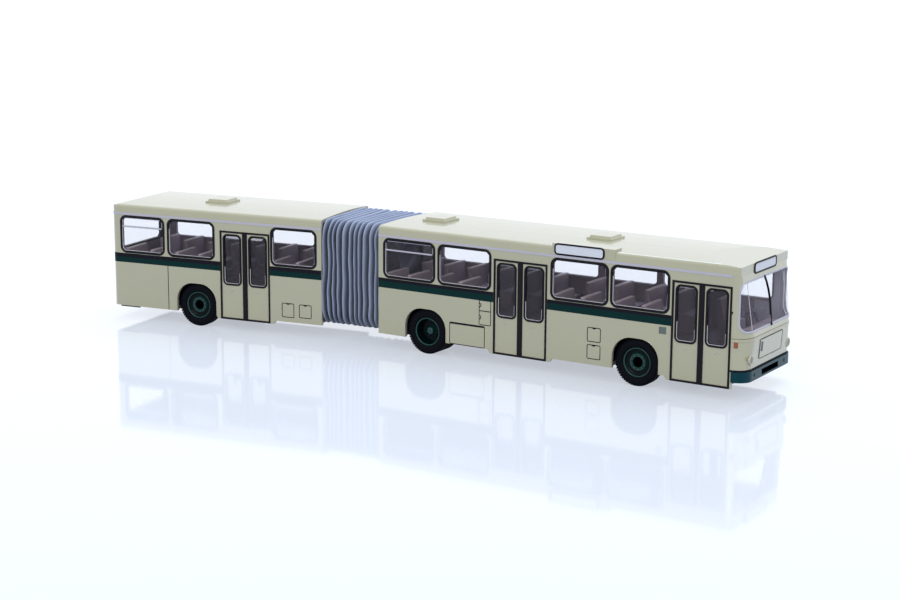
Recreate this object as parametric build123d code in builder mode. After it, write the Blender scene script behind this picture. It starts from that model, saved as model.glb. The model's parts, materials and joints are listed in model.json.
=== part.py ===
from build123d import *
from collections import namedtuple
import math
import os

# Articulated city bus as a 1:87 scale model, in millimetres.
# X points forwards and Z up. Each section is modelled straight, with the pivot at X = Y = 0
# and the ground at Z = 0, then the rear section is turned about the pivot.

# Pose and overall sizes
bend_angle = 8.8  # degrees that the rear section stands turned towards its right side
body_width = 28.7
wall = 0.9
gutter_height = 29.8  # seam between side walls and roof
shoulder_rise = 2.5  # edge of the roof above the gutter
crown_rise = 0.45  # middle of the roof above its edge
shoulder_lean = 0.25
shoulder_radius = 0.9
skirt_height = 3.8
apron_height = 2.87  # lower edge of the side wall beside a door
apron_margin = 0.9
apron_slope = 0.7
bellows_half = 9.9  # pivot to the open edge of either section
fit = 0.02  # clearance between pieces that seat in each other
overshoot = 2.0  # how far a cutter passes the face that it cuts

# Windows, doors and wheel arches
window_bottom = 18.95
window_drop = 0.5  # upper edge of a window below the gutter
window_corner = 1.1  # cut off each corner of a window
seal_width = 0.55
seal_proud = 0.12
glass_thickness = 0.45
glass_recess = 0.2
slider_drop = 3.0  # bar of the sliding upper pane below the window's upper edge
slider_bar = 0.4
door_drop = 2.45  # upper edge of a doorway below the gutter
door_frame_width = 0.5
door_strip_width = 1.4  # black strip between the two leaves
leaf_recess = 0.1
leaf_thickness = 0.65
leaf_margin = 0.45
leaf_window_bottom = 12.45
leaf_window_corner = 0.8
leaf_seal_width = 0.45
arch_half = 6.25
arch_top = 11.95
arch_radius = 5.2
arch_shift = 0.2  # middle of an arch behind its axle

# Nose and tail
windscreen_inset = 0.27  # windscreen opening inside the body's side
windscreen_bottom = 15.1
windscreen_drop = 0.8  # upper edge of the windscreen below the gutter
windscreen_corner = 1.8
windscreen_wrap = 3.2  # how far the opening reaches back round the corners
windscreen_seal_width = 0.75
belt_height = 14.6
belt_width = 0.35
belt_proud = 0.12
flap_half = 6.7
flap_bottom = 9.25
flap_top = 13.9
flap_proud = 0.1
bumper_bottom = 4.55
bumper_top = 7.1
bumper_set_back = 0.1  # bumper's front behind the foremost edge of the nose
bumper_corner_cut = 0.6  # bumper's corner radius below that of the nose
nose_lift = 0.15  # lower edge of the nose above that of the bumper
bumper_slot_half = 5.05
bumper_slot_bottom = 5.15
bumper_slot_top = 6.25
bumper_slot_depth = 0.3
headlamp_inset = 3.11
headlamp_z = 9.7
headlamp_radius = 0.85
headlamp_set_back = 0.15  # lens behind the foremost edge of the nose
indicator_back = 3.45  # rear edge of the indicator behind the nose
indicator_length = 0.9
indicator_bottom = 12.9
indicator_top = 14.3
indicator_proud = 0.2
rear_window_inset = 3.75
rear_window_bottom = 18.95
tail_lamp_inset = 3.15
tail_lamp_width = 1.7
tail_lamp_bottom = 8.6
tail_lamp_top = 13.6
tail_lamp_proud = 0.35

# Roof fittings
hatch_size = 7.0
hatch_flange = 0.45
hatch_lid_size = 6.0
hatch_lid = 0.55
hatch_taper = 20
hatch_sink = 0.3
sign_half = 6.4
sign_drop = 0.3  # lower edge of the front sign below the gutter
sign_height = 2.4
sign_thickness = 0.15
sign_corner = 0.4
side_box_start = 51.7  # side sign and its housing, from the open edge of the front section
side_box_end = 69.0
side_box_rise = 0.3  # lower edge of the housing above the gutter
side_box_proud = 0.2  # top of the housing above the roof
side_box_depth = 3.4
side_sign_start = 52.6
side_sign_end = 65.9
side_sign_edge = 0.35  # sign inside the lower edge of its housing
side_sign_brim = 0.15  # sign inside the upper edge of its housing

# Running gear
wheel_radius = 5.85
rim_radius = 3.7
tyre_width = 3.1
tyre_recess = 0.5  # outer tyre face inside the body's side
twin_gap = 0.35
shaft_radius = 0.75
bearing_clearance = 0.15
well_half = 6.9
well_width = 7.75
rim_edge = 0.3  # rim inside the outer tyre face
rim_flange = 0.9

# Floor, seats and chassis
plate_bottom = 3.95
plate_thickness = 1.0
rail_width = 1.4
rail_gap = 1.3  # rails to the wheel wells
floor_height = 9.4
floor_thickness = 0.8
wheel_box_wall = 0.6
wheel_box_clearance = 0.55
inner_gap = 0.15  # floor and chassis to the walls
seat_width = 9.2
seat_depth = 4.6
seat_height = 4.7
seat_back_height = 5.1
seat_thickness = 1.0
seat_rake = 0.9
frame_thickness = 0.9
passage_half = 5.6
passage_drop = 2.3  # top of the passage below the gutter
tongue_half = 2.2
tongue_corner = 1.3
tongue_thickness = 0.9
tongue_gap = 0.3
tongue_height = 1.6  # rear tongue above the base plate
pin_radius = 1.0
pin_clearance = 0.25
pin_head_half = 1.5
pin_head = 0.5

# Driver's place
dash_back = 5.35  # rear face of the dashboard behind the nose
dash_depth = 2.8
dash_top = 15.6
dash_inset = 4.75  # end of the dashboard inside the body's side
dash_edge = 0.4
dash_slope = 1.2
wheel_gap = 2.0  # steering wheel's centre behind the dashboard
wheel_inset = 7.75
wheel_z = 17.4
wheel_ring = 2.5
wheel_grip = 0.28
wheel_sides = 16
wheel_tilt = 25
column_radius = 0.42
driver_gap = 8.0  # seat back behind the steering wheel
driver_seat_width = 5.2

# Bellows
pleats = 11
lining_steps = 2
pleat_depth = 1.15
bellows_inset = 0.2  # ridges inside the body's side
bellows_bottom = 3.9
bellows_skin = 0.5
bellows_corner = 1.7
bellows_gap = 0.1

# Places along a section are distances from its open edge at the bellows. The bays fill the section
# up to the seam of its end panel, so they widen with its length. The closed end leans back above the
# belt and is tucked in below it, and the roof drops towards it.
bay_margin = 0.3  # last bay to the seam
Section = namedtuple(
    "Section",
    "name sign length corner lean tuck drop drop_run seam_back"
    " right_windows left_windows sliders doors axles hatches seats left_seats",
)
front = Section(
    name="front",
    sign=1,
    length=103.95,
    corner=4.2,
    lean=2.4,
    tuck=0.75,
    drop=0.8,
    drop_run=12.0,
    seam_back=3.95,
    right_windows=[(1.6, 17.5), (18.4, 34.25), (51.45, 67.35), (68.0, 83.65)],
    left_windows=[(1.6, 17.5), (18.4, 34.25), (35.1, 50.5), (51.45, 67.35), (68.0, 83.65), (84.5, 98.6)],
    sliders=[(1.6, 17.5)],
    doors=[(35.06, 50.46), (84.3, 99.7)],
    axles=[14.85, 75.2],
    hatches=[10.1, 58.9],
    seats=[2.4, 9.4, 16.8, 25.0, 52.4, 60.2, 69.2, 76.8],
    left_seats=[33.2, 41.2],
)
rear = Section(
    name="rear",
    sign=-1,
    length=65.9,
    corner=2.0,
    lean=0.0,
    tuck=0.5,
    drop=0.9,
    drop_run=3.0,
    seam_back=2.8,
    right_windows=[(1.5, 15.3), (32.75, 47.65), (48.65, 62.8)],
    left_windows=[(1.5, 15.3), (16.2, 31.9), (32.75, 47.65), (48.65, 62.8)],
    sliders=[(48.65, 62.8)],
    doors=[(15.63, 31.03)],
    axles=[38.5],
    hatches=[38.3],
    seats=[7.4, 14.6, 37.6, 45.0, 53.0, 61.0],
    left_seats=[22.2, 29.6],
)


def seam(section):
    """Distance of the seam between a section's side walls and its end panel."""
    return section.length - section.seam_back


def fill(section):
    """The section with its bays widened or narrowed to end at the seam."""
    last = max(far for near, far in section.right_windows + section.doors)
    scale = (seam(section) - bay_margin) / last
    bays = {}
    for name in ("right_windows", "left_windows", "sliders", "doors"):
        bays[name] = [(near * scale, far * scale) for near, far in getattr(section, name)]
    for name in ("axles", "hatches", "seats", "left_seats"):
        bays[name] = [place * scale for place in getattr(section, name)]
    return section._replace(**bays)


front = fill(front)
rear = fill(rear)

shoulder_height = gutter_height + shoulder_rise
roof_height = shoulder_height + crown_rise
window_top = gutter_height - window_drop
slider_height = window_top - slider_drop
door_top = gutter_height - door_drop
windscreen_top = gutter_height - windscreen_drop
sign_bottom = gutter_height - sign_drop
sign_top = sign_bottom + sign_height
side_box_bottom = gutter_height + side_box_rise
side_box_top = roof_height + side_box_proud
passage_top = gutter_height - passage_drop
half_width = body_width / 2
inner_half = half_width - wall
floor_half = inner_half - inner_gap
floor_top = floor_height + floor_thickness
hub_height = wheel_radius
tyre_outer = half_width - tyre_recess
well_inner = half_width - well_width
rail_y = well_inner - rail_gap - rail_width / 2
windscreen_half = half_width - windscreen_inset
windscreen_edge = front.length - windscreen_wrap
headlamp_y = half_width - headlamp_inset
rear_window_half = half_width - rear_window_inset
tail_lamp_y = half_width - tail_lamp_inset
indicator_start = front.length - indicator_back
dash_start = front.length - dash_back
dash_half = half_width - dash_inset
wheel_distance = dash_start - wheel_gap
wheel_y = half_width - wheel_inset
pieces = {}


def keep(piece, label, section):
    """Sets a finished piece aside, turned about the pivot if the rear section carries it."""
    turn = bend_angle if section is rear else 0
    pieces[label] = piece.part.rotate(Axis.Z, turn)


def x_at(section, distance):
    """X of a place in a section, from its distance to the section's open edge."""
    return section.sign * (bellows_half + distance)


def section_form(section, inset=0.0, start=0.0, bottom=apron_height):
    """Outer form of a section, or a copy of it that lies deeper by the inset.

    From the depth of the wall on, its edges are plain, as in the cavity of the moulding.
    """
    half = half_width - inset
    end = section.length - inset
    height = roof_height - inset
    right_shoulder = (half - shoulder_lean, shoulder_height - inset)
    left_shoulder = (shoulder_lean - half, shoulder_height - inset)
    crown = (0, height)
    rounded = inset < wall
    corner = section.corner - inset
    with BuildPart() as form:
        with BuildSketch(Plane.YZ.offset(x_at(section, start))) as across:
            with BuildLine():
                Polyline(
                    left_shoulder,
                    (-half, gutter_height),
                    (-half, bottom),
                    (half, bottom),
                    (half, gutter_height),
                    right_shoulder,
                )
                if rounded:
                    ThreePointArc(right_shoulder, crown, left_shoulder)
                else:
                    Polyline(right_shoulder, crown, left_shoulder)
            make_face()
            if rounded:
                fillet(across.vertices().sort_by(Axis.Y)[-2:], radius=shoulder_radius - inset)
        extrude(amount=section.sign * (end - start))
        with BuildSketch(Plane.XY.offset(bottom)) as plan:
            with Locations((x_at(section, (start + end) / 2), 0)):
                Rectangle(end - start, 2 * half)
            closed_end = plan.vertices().sort_by(Axis.X if section.sign > 0 else -Axis.X)[-2:]
            if rounded:
                fillet(closed_end, radius=corner)
            else:
                chamfer(closed_end, length=(2 - math.sqrt(2)) * corner)
        extrude(amount=height - bottom, mode=Mode.INTERSECT)
        with BuildSketch(Plane.XZ):
            with BuildLine():
                Polyline(
                    (x_at(section, start), bottom),
                    (x_at(section, end - section.tuck), bottom),
                    (x_at(section, end - section.tuck), skirt_height),
                    (x_at(section, end), belt_height),
                    (x_at(section, end - section.lean), gutter_height),
                    (x_at(section, end - section.lean), height - section.drop),
                    (x_at(section, end - section.lean - section.drop_run), height),
                    (x_at(section, start), height),
                    close=True,
                )
            make_face()
        extrude(amount=body_width, both=True, mode=Mode.INTERSECT)
    return form.part


def cut_corners(width, height, corner):
    """Outline of a rectangle about the origin, with its corners cut off."""
    x = width / 2
    y = height / 2
    return [
        (corner - x, -y),
        (x - corner, -y),
        (x, corner - y),
        (x, y - corner),
        (x - corner, y),
        (corner - x, y),
        (-x, y - corner),
        (-x, corner - y),
    ]


def add_frame(width, height, corner, inset, mode=Mode.ADD):
    """Adds a rectangle with cut corners, or one inside it at an even distance, to the open sketch."""
    shorter = (2 - math.sqrt(2)) * inset  # what an even border takes off the cut
    Polygon(*cut_corners(width - 2 * inset, height - 2 * inset, corner - shorter), mode=mode)


def add_frames(section, spans, bottom, top, corner, inset, mode=Mode.ADD):
    """Adds an outline with cut corners for each span of distances to the open sketch."""
    for near, far in spans:
        with Locations((x_at(section, (near + far) / 2), (bottom + top) / 2)):
            add_frame(far - near, top - bottom, corner, inset, mode)


def door_cells(section):
    """Spans of the two leaves of each door."""
    cells = []
    for near, far in section.doors:
        middle = (near + far) / 2
        cells += [
            (near + door_frame_width, middle - door_strip_width / 2),
            (middle + door_strip_width / 2, far - door_frame_width),
        ]
    return cells


cell_low = apron_height + door_frame_width
cell_high = door_top - door_frame_width
leaf_window_top = cell_high - leaf_margin


def section_shell(section):
    """The hollow moulding of a section, with its windows, doorways and wheel arches cut."""
    side_depth = wall + 2 * overshoot
    with BuildPart() as shell:
        add(section_form(section))
        add(
            section_form(section, inset=wall, start=-overshoot, bottom=apron_height - overshoot),
            mode=Mode.SUBTRACT,
        )
        with BuildSketch(Plane.XZ.offset(inner_half - overshoot)):
            add_frames(section, section.right_windows, window_bottom, window_top, window_corner, 0)
            for near, far in section.doors:
                low = apron_height - overshoot
                with Locations((x_at(section, (near + far) / 2), (low + door_top) / 2)):
                    Rectangle(far - near, door_top - low)
        extrude(amount=side_depth, mode=Mode.SUBTRACT)
        with BuildSketch(Plane.XZ.offset(-inner_half + overshoot)):
            add_frames(section, section.left_windows, window_bottom, window_top, window_corner, 0)
        extrude(amount=-side_depth, mode=Mode.SUBTRACT)
        with BuildSketch(Plane.XZ) as arches:
            for axle in section.axles:
                with Locations((x_at(section, axle) - arch_shift, arch_top / 2)):
                    Rectangle(2 * arch_half, arch_top)
            fillet(arches.vertices().group_by(Axis.Y)[-1], radius=arch_radius)
        extrude(amount=body_width, both=True, mode=Mode.SUBTRACT)
        # The skirt is cut back to its edge everywhere except in an apron round each doorway.
        with BuildSketch(Plane.XZ):
            low = apron_height - overshoot
            with Locations((x_at(section, section.length / 2), (low + skirt_height) / 2)):
                Rectangle(section.length + 2 * overshoot, skirt_height - low)
            for near, far in section.doors:
                first = near - apron_margin
                last = far + apron_margin
                with BuildLine():
                    Polyline(
                        (x_at(section, first), low),
                        (x_at(section, last), low),
                        (x_at(section, last), apron_height),
                        (x_at(section, last + apron_slope), skirt_height),
                        (x_at(section, first - apron_slope), skirt_height),
                        (x_at(section, first), apron_height),
                        close=True,
                    )
                make_face(mode=Mode.SUBTRACT)
        extrude(amount=body_width, mode=Mode.SUBTRACT)
        with BuildSketch(Plane.XZ):
            with Locations((x_at(section, section.length / 2), (low + skirt_height) / 2)):
                Rectangle(section.length + 2 * overshoot, skirt_height - low)
        extrude(amount=-body_width, mode=Mode.SUBTRACT)
    return shell.part


def panel_box(section, near, far, low, high, right, left):
    """Keeps what the open part has between two distances, two heights and two sides."""
    with Locations((x_at(section, (near + far) / 2), (right + left) / 2, (low + high) / 2)):
        Box(far - near, left - right, high - low, mode=Mode.INTERSECT)


def build_panels(section, shell):
    """Side walls and roof of a section, split at the gutter and at the seam of its end panel."""
    for side, right, left in (("right", -body_width, 0), ("left", 0, body_width)):
        with BuildPart() as side_wall:
            add(shell)
            panel_box(section, 0, seam(section), 0, gutter_height, right, left)
        keep(side_wall, f"{section.name}_side_{side}", section)
    with BuildPart() as roof:
        add(shell)
        panel_box(section, 0, section.length, gutter_height, roof_height, -body_width, body_width)
        if section is front:
            # Housing of the side sign, moulded on the right edge of the roof.
            middle = (side_box_start + side_box_end) / 2
            with Locations((x_at(section, middle), -half_width + side_box_depth / 2, 0)):
                with Locations((0, 0, (side_box_bottom + side_box_top) / 2)):
                    Box(side_box_end - side_box_start, side_box_depth, side_box_top - side_box_bottom)
            add(
                section_form(section, inset=wall, start=-overshoot, bottom=apron_height - overshoot),
                mode=Mode.SUBTRACT,
            )
    keep(roof, f"{section.name}_roof", section)


def build_windows(section):
    """Black seals and clear panes of a section's side windows."""
    glass_out = half_width - glass_recess
    bar_back = glass_out + fit
    window = (window_bottom, window_top, window_corner)
    sides = ((1, section.right_windows), (-1, section.left_windows))
    with BuildPart() as seals:
        for facing, spans in sides:
            with BuildSketch(Plane.XZ.offset(facing * inner_half)):
                add_frames(section, spans, *window, fit)
                add_frames(section, spans, *window, seal_width, Mode.SUBTRACT)
            extrude(amount=facing * (wall + seal_proud))
        with BuildSketch(Plane.XZ.offset(bar_back)):
            for near, far in section.sliders:
                with Locations((x_at(section, (near + far) / 2), slider_height)):
                    Rectangle(far - near - seal_width, slider_bar)
        extrude(amount=half_width + seal_proud - bar_back)
    keep(seals, f"{section.name}_window_seals", section)
    with BuildPart() as glass:
        for facing, spans in sides:
            with BuildSketch(Plane.XZ.offset(facing * glass_out)):
                add_frames(section, spans, *window, seal_width + fit)
            extrude(amount=-facing * glass_thickness)
    keep(glass, f"{section.name}_side_glass", section)


def build_doors(section):
    """Frames, leaves and panes of a section's double doors."""
    cells = door_cells(section)
    windows = [(near + leaf_margin, far - leaf_margin) for near, far in cells]
    window = (leaf_window_bottom, leaf_window_top, leaf_window_corner)
    leaf_face = half_width - leaf_recess
    with BuildPart() as frames:
        with BuildSketch(Plane.XZ.offset(inner_half)):
            for near, far in section.doors:
                with Locations((x_at(section, (near + far) / 2), (apron_height + door_top) / 2)):
                    Rectangle(far - near - 2 * fit, door_top - apron_height - 2 * fit)
            for near, far in cells:
                with Locations((x_at(section, (near + far) / 2), (cell_low + cell_high) / 2)):
                    Rectangle(far - near, cell_high - cell_low, mode=Mode.SUBTRACT)
        extrude(amount=wall + seal_proud)
        with BuildSketch(Plane.XZ.offset(leaf_face - leaf_thickness)):
            add_frames(section, windows, *window, fit)
            add_frames(section, windows, *window, leaf_seal_width, Mode.SUBTRACT)
        extrude(amount=leaf_thickness + seal_proud)
    keep(frames, f"{section.name}_door_seals", section)
    with BuildPart() as leaves:
        with BuildSketch(Plane.XZ.offset(leaf_face)):
            for near, far in cells:
                with Locations((x_at(section, (near + far) / 2), (cell_low + cell_high) / 2)):
                    Rectangle(far - near - 2 * fit, cell_high - cell_low - 2 * fit)
            add_frames(section, windows, *window, 0, Mode.SUBTRACT)
        extrude(amount=-leaf_thickness)
    keep(leaves, f"{section.name}_door_leaves", section)
    with BuildPart() as panes:
        with BuildSketch(Plane.XZ.offset(leaf_face - leaf_recess)):
            add_frames(section, windows, *window, leaf_seal_width + fit)
        extrude(amount=-glass_thickness)
    keep(panes, f"{section.name}_door_glass", section)


def build_end_frame(section):
    """Bulkhead at the open edge, with the passage into the bellows."""
    with BuildPart() as frame:
        add(section_form(section, inset=wall + fit))
        panel_box(section, 0, frame_thickness, floor_height, roof_height, -body_width, body_width)
        with BuildSketch(Plane.YZ.offset(x_at(section, -overshoot))):
            with Locations((0, (floor_top + passage_top) / 2)):
                Rectangle(2 * passage_half, passage_top - floor_top)
        extrude(amount=section.sign * (frame_thickness + 2 * overshoot), mode=Mode.SUBTRACT)
    keep(frame, f"{section.name}_end_frame", section)


def build_hatches(section):
    """Two-step roof hatches, sunk a little into the crown."""
    with BuildPart() as hatches:
        for hatch in section.hatches:
            with BuildSketch(Plane.XY.offset(roof_height - hatch_sink)):
                with Locations((x_at(section, hatch), 0)):
                    Rectangle(hatch_size, hatch_size)
            extrude(amount=hatch_sink + hatch_flange)
            with BuildSketch(Plane.XY.offset(roof_height + hatch_flange)):
                with Locations((x_at(section, hatch), 0)):
                    Rectangle(hatch_lid_size, hatch_lid_size)
            extrude(amount=hatch_lid, taper=hatch_taper)
        add(section_form(section), mode=Mode.SUBTRACT)
    keep(hatches, f"{section.name}_roof_hatches", section)


def add_seat(section, distance, y, width):
    """Adds a seat that faces the nose to the open part. Its back stands at the distance given."""
    x = x_at(section, distance)
    cushion = floor_top + seat_height
    with BuildSketch(Plane.XZ.offset(-y + width / 2)) as profile:
        with BuildLine():
            Polyline(
                (x + seat_depth, floor_height + floor_thickness / 2),
                (x + seat_depth, cushion),
                (x + seat_thickness, cushion),
                (x + seat_thickness - seat_rake, cushion + seat_back_height),
                (x - seat_rake, cushion + seat_back_height),
                (x, floor_height + floor_thickness / 2),
                close=True,
            )
        make_face()
    extrude(profile.sketch, amount=-width)


def add_interior(section):
    """Adds the floor with its wheel boxes and seats, moulded in one piece."""
    box_top = 2 * wheel_radius + wheel_box_clearance
    start = frame_thickness + fit
    end = seam(section)
    seat_y = floor_half - seat_width / 2
    with Locations((x_at(section, (start + end) / 2), 0, floor_height + floor_thickness / 2)):
        Box(end - start, 2 * floor_half, floor_thickness)
    well_y = (well_inner + floor_half) / 2
    for axle in section.axles:
        with Locations((x_at(section, axle), well_y), (x_at(section, axle), -well_y)):
            with Locations((0, 0, (floor_height + box_top + wheel_box_wall) / 2)):
                Box(
                    2 * (well_half + wheel_box_wall),
                    floor_half - well_inner,
                    box_top + wheel_box_wall - floor_height,
                )
    for distance in section.seats + section.left_seats:
        add_seat(section, distance, seat_y, seat_width)
    for distance in section.seats:
        add_seat(section, distance, -seat_y, seat_width)
    for axle in section.axles:
        deep = floor_half - well_inner - wheel_box_wall
        hollow_y = floor_half - deep / 2
        with Locations((x_at(section, axle), hollow_y), (x_at(section, axle), -hollow_y)):
            with Locations((0, 0, (floor_height - overshoot + box_top) / 2)):
                Box(2 * well_half, deep, box_top - floor_height + overshoot, mode=Mode.SUBTRACT)


# Coupling: the tongue of the rear section lies under that of the front section.
rear_tongue_bottom = plate_bottom + plate_thickness + tongue_height
front_tongue_bottom = rear_tongue_bottom + tongue_thickness + tongue_gap
tongue_length = bellows_half + frame_thickness + rail_width


def add_chassis(section, tongue_bottom):
    """Adds a base plate with rails that carry the floor, axle bearings and a coupling tongue."""
    start = frame_thickness + fit
    end = seam(section)
    middle_x = x_at(section, (start + end) / 2)
    plate_top = plate_bottom + plate_thickness
    length = end - start
    bearing = 2 * (shaft_radius + bearing_clearance)
    with BuildSketch(Plane.XY.offset(plate_bottom)) as plate:
        with Locations((middle_x, 0)):
            Rectangle(length, 2 * floor_half)
        for axle in section.axles:
            well_y = well_inner + well_width / 2
            with Locations((x_at(section, axle), well_y), (x_at(section, axle), -well_y)):
                Rectangle(2 * well_half, well_width, mode=Mode.SUBTRACT)
    extrude(plate.sketch, amount=plate_thickness)
    with BuildSketch(Plane.XY.offset(plate_top)) as rails:
        with Locations((middle_x, rail_y), (middle_x, -rail_y)):
            Rectangle(length, rail_width)
        with Locations((x_at(section, start + rail_width), 0)):
            Rectangle(2 * rail_width, 2 * rail_y)
    extrude(rails.sketch, amount=floor_height - plate_top)
    with BuildSketch(Plane.XZ) as bearings:
        for axle in section.axles:
            with Locations((x_at(section, axle), hub_height)):
                Rectangle(bearing, bearing)
    extrude(bearings.sketch, amount=body_width, both=True, mode=Mode.SUBTRACT)
    with BuildSketch(Plane.XY.offset(tongue_bottom)) as tongue:
        with Locations((section.sign * tongue_length / 2, 0)):
            Rectangle(tongue_length, 2 * tongue_half)
        with Locations((-section.sign * tongue_half / 2, 0)):
            Rectangle(tongue_half, 2 * tongue_half)
        free_end = tongue.vertices().sort_by(-Axis.X if section.sign > 0 else Axis.X)[-2:]
        chamfer(free_end, length=tongue_corner)
    extrude(tongue.sketch, amount=tongue_thickness)


def cut_windscreen(from_edge, mode):
    """Cuts the open part with a prism along X, inside the windscreen's outline."""
    with BuildSketch(Plane.YZ.offset(x_at(front, windscreen_edge + from_edge))) as outline:
        with Locations((0, (windscreen_bottom + windscreen_top) / 2)):
            add_frame(2 * windscreen_half, windscreen_top - windscreen_bottom, windscreen_corner, from_edge)
    extrude(outline.sketch, amount=body_width, mode=mode)


def nose_skin(outer, inner):
    """Adds a skin of the front section between two depths to the open part."""
    cavity = section_form(front, inset=inner, start=-overshoot, bottom=apron_height - overshoot)
    add(section_form(front, inset=outer))
    add(cavity, mode=Mode.SUBTRACT)


def raised_field(low, high, half, proud):
    """A field of the nose that stands out from it by the amount given."""
    with BuildPart() as field:
        nose_skin(-proud, wall)
        panel_box(front, seam(front), front.length + proud, low, high, -half, half)
    return field.part


shells = {section.name: section_shell(section) for section in (front, rear)}
for section in (front, rear):
    build_panels(section, shells[section.name])
    build_windows(section)
    build_doors(section)
    build_end_frame(section)
    build_hatches(section)

# Nose: lower panel and windscreen frame, with a belt moulding and a raised service flap.
with BuildPart() as nose_panel:
    add(shells["front"])
    nose_low = bumper_bottom + nose_lift
    panel_box(front, seam(front), front.length, nose_low, gutter_height, -body_width, body_width)
    add(raised_field(belt_height - belt_width, belt_height, body_width, belt_proud))
    add(raised_field(flap_bottom, flap_top, flap_half, flap_proud))
    cut_windscreen(0, Mode.SUBTRACT)
keep(nose_panel, "nose_panel", front)

rear_outline = (2 * rear_window_half, window_top - rear_window_bottom, window_corner)
with BuildPart() as tail_panel:
    add(shells["rear"])
    panel_box(rear, seam(rear), rear.length, 0, gutter_height, -body_width, body_width)
    with BuildSketch(Plane.YZ.offset(x_at(rear, rear.length - 2 * wall))):
        with Locations((0, (rear_window_bottom + window_top) / 2)):
            add_frame(*rear_outline, 0)
    extrude(amount=-body_width, mode=Mode.SUBTRACT)
keep(tail_panel, "tail_panel", rear)

with BuildPart() as windscreen:
    nose_skin(glass_recess, glass_recess + glass_thickness)
    cut_windscreen(windscreen_seal_width + fit, Mode.INTERSECT)
keep(windscreen, "windscreen", front)

with BuildPart() as windscreen_seal:
    nose_skin(-seal_proud, wall)
    cut_windscreen(fit, Mode.INTERSECT)
    cut_windscreen(windscreen_seal_width, Mode.SUBTRACT)
keep(windscreen_seal, "windscreen_seal", front)

with BuildPart() as rear_window_seal:
    with BuildSketch(Plane.YZ.offset(x_at(rear, rear.length - wall))):
        with Locations((0, (rear_window_bottom + window_top) / 2)):
            add_frame(*rear_outline, fit)
            add_frame(*rear_outline, seal_width, Mode.SUBTRACT)
    extrude(amount=-(wall + seal_proud))
keep(rear_window_seal, "rear_window_seal", rear)

with BuildPart() as rear_window:
    with BuildSketch(Plane.YZ.offset(x_at(rear, rear.length - glass_recess - rear.lean))):
        with Locations((0, (rear_window_bottom + window_top) / 2)):
            add_frame(*rear_outline, seal_width + fit)
    extrude(amount=glass_thickness)
keep(rear_window, "rear_window", rear)

with BuildPart() as bumper:
    bumper_front = front.length - bumper_set_back
    with BuildSketch(Plane.XY.offset(bumper_bottom)) as outline:
        with Locations((x_at(front, bumper_front - front.corner), 0)):
            Rectangle(2 * front.corner, body_width + 2 * belt_proud)
        fillet(outline.vertices().sort_by(Axis.X)[-2:], radius=front.corner - bumper_corner_cut)
    extrude(amount=bumper_top - bumper_bottom)
    panel_box(front, seam(front), front.length, bumper_bottom, bumper_top, -body_width, body_width)
    add(section_form(front, inset=-fit), mode=Mode.SUBTRACT)
    with BuildSketch(Plane.YZ.offset(x_at(front, bumper_front - bumper_slot_depth))):
        with Locations((0, (bumper_slot_bottom + bumper_slot_top) / 2)):
            Rectangle(2 * bumper_slot_half, bumper_slot_top - bumper_slot_bottom)
    extrude(amount=2 * bumper_slot_depth, mode=Mode.SUBTRACT)
keep(bumper, "bumper", front)

with BuildPart() as headlamps:
    with BuildSketch(Plane.YZ.offset(x_at(front, front.length - headlamp_set_back))):
        with Locations((headlamp_y, headlamp_z), (-headlamp_y, headlamp_z)):
            Circle(headlamp_radius)
    extrude(amount=-wall)
    add(section_form(front, inset=-fit, start=-overshoot), mode=Mode.SUBTRACT)
keep(headlamps, "headlamps", front)

with BuildPart() as indicators:
    add(section_form(front, inset=-indicator_proud))
    panel_box(
        front,
        indicator_start,
        indicator_start + indicator_length,
        indicator_bottom,
        indicator_top,
        -body_width,
        body_width,
    )
    add(section_form(front, inset=-fit, start=-overshoot), mode=Mode.SUBTRACT)
keep(indicators, "indicators", front)

with BuildPart() as front_sign:
    with BuildSketch(Plane.YZ.offset(x_at(front, front.length - front.lean))):
        with Locations((0, (sign_bottom + sign_top) / 2)):
            add_frame(2 * sign_half, sign_top - sign_bottom, sign_corner, 0)
    extrude(amount=sign_thickness)
    add(section_form(front), mode=Mode.SUBTRACT)
keep(front_sign, "front_sign", front)

with BuildPart() as side_sign:
    side_sign_bottom = side_box_bottom + side_sign_edge
    side_sign_top = side_box_top - side_sign_brim
    with BuildSketch(Plane.XZ.offset(half_width)):
        spans = [(side_sign_start, side_sign_end)]
        add_frames(front, spans, side_sign_bottom, side_sign_top, sign_corner, 0)
    extrude(amount=sign_thickness)
keep(side_sign, "side_sign", front)

with BuildPart() as tail_lamps:
    with BuildSketch(Plane.YZ.offset(x_at(rear, rear.length - rear.tuck))):
        tail_lamp_z = (tail_lamp_bottom + tail_lamp_top) / 2
        with Locations((tail_lamp_y, tail_lamp_z), (-tail_lamp_y, tail_lamp_z)):
            add_frame(tail_lamp_width, tail_lamp_top - tail_lamp_bottom, sign_corner, 0)
    extrude(amount=-(rear.tuck + tail_lamp_proud))
    add(section_form(rear, inset=-fit, start=-overshoot), mode=Mode.SUBTRACT)
keep(tail_lamps, "tail_lamps", rear)

with BuildPart() as front_interior:
    add_interior(front)
    add_seat(front, wheel_distance - driver_gap, wheel_y, driver_seat_width)
keep(front_interior, "front_interior", front)

with BuildPart() as rear_interior:
    add_interior(rear)
keep(rear_interior, "rear_interior", rear)

with BuildPart() as front_chassis:
    add_chassis(front, front_tongue_bottom)
    with BuildSketch(Plane.XY.offset(front_tongue_bottom)):
        Circle(pin_radius)
    extrude(amount=-(tongue_thickness + 2 * tongue_gap + pin_head))
    with BuildSketch(Plane.XY.offset(rear_tongue_bottom - tongue_gap)):
        Rectangle(2 * pin_head_half, 2 * pin_head_half)
    extrude(amount=-pin_head)
keep(front_chassis, "front_chassis", front)

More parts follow.
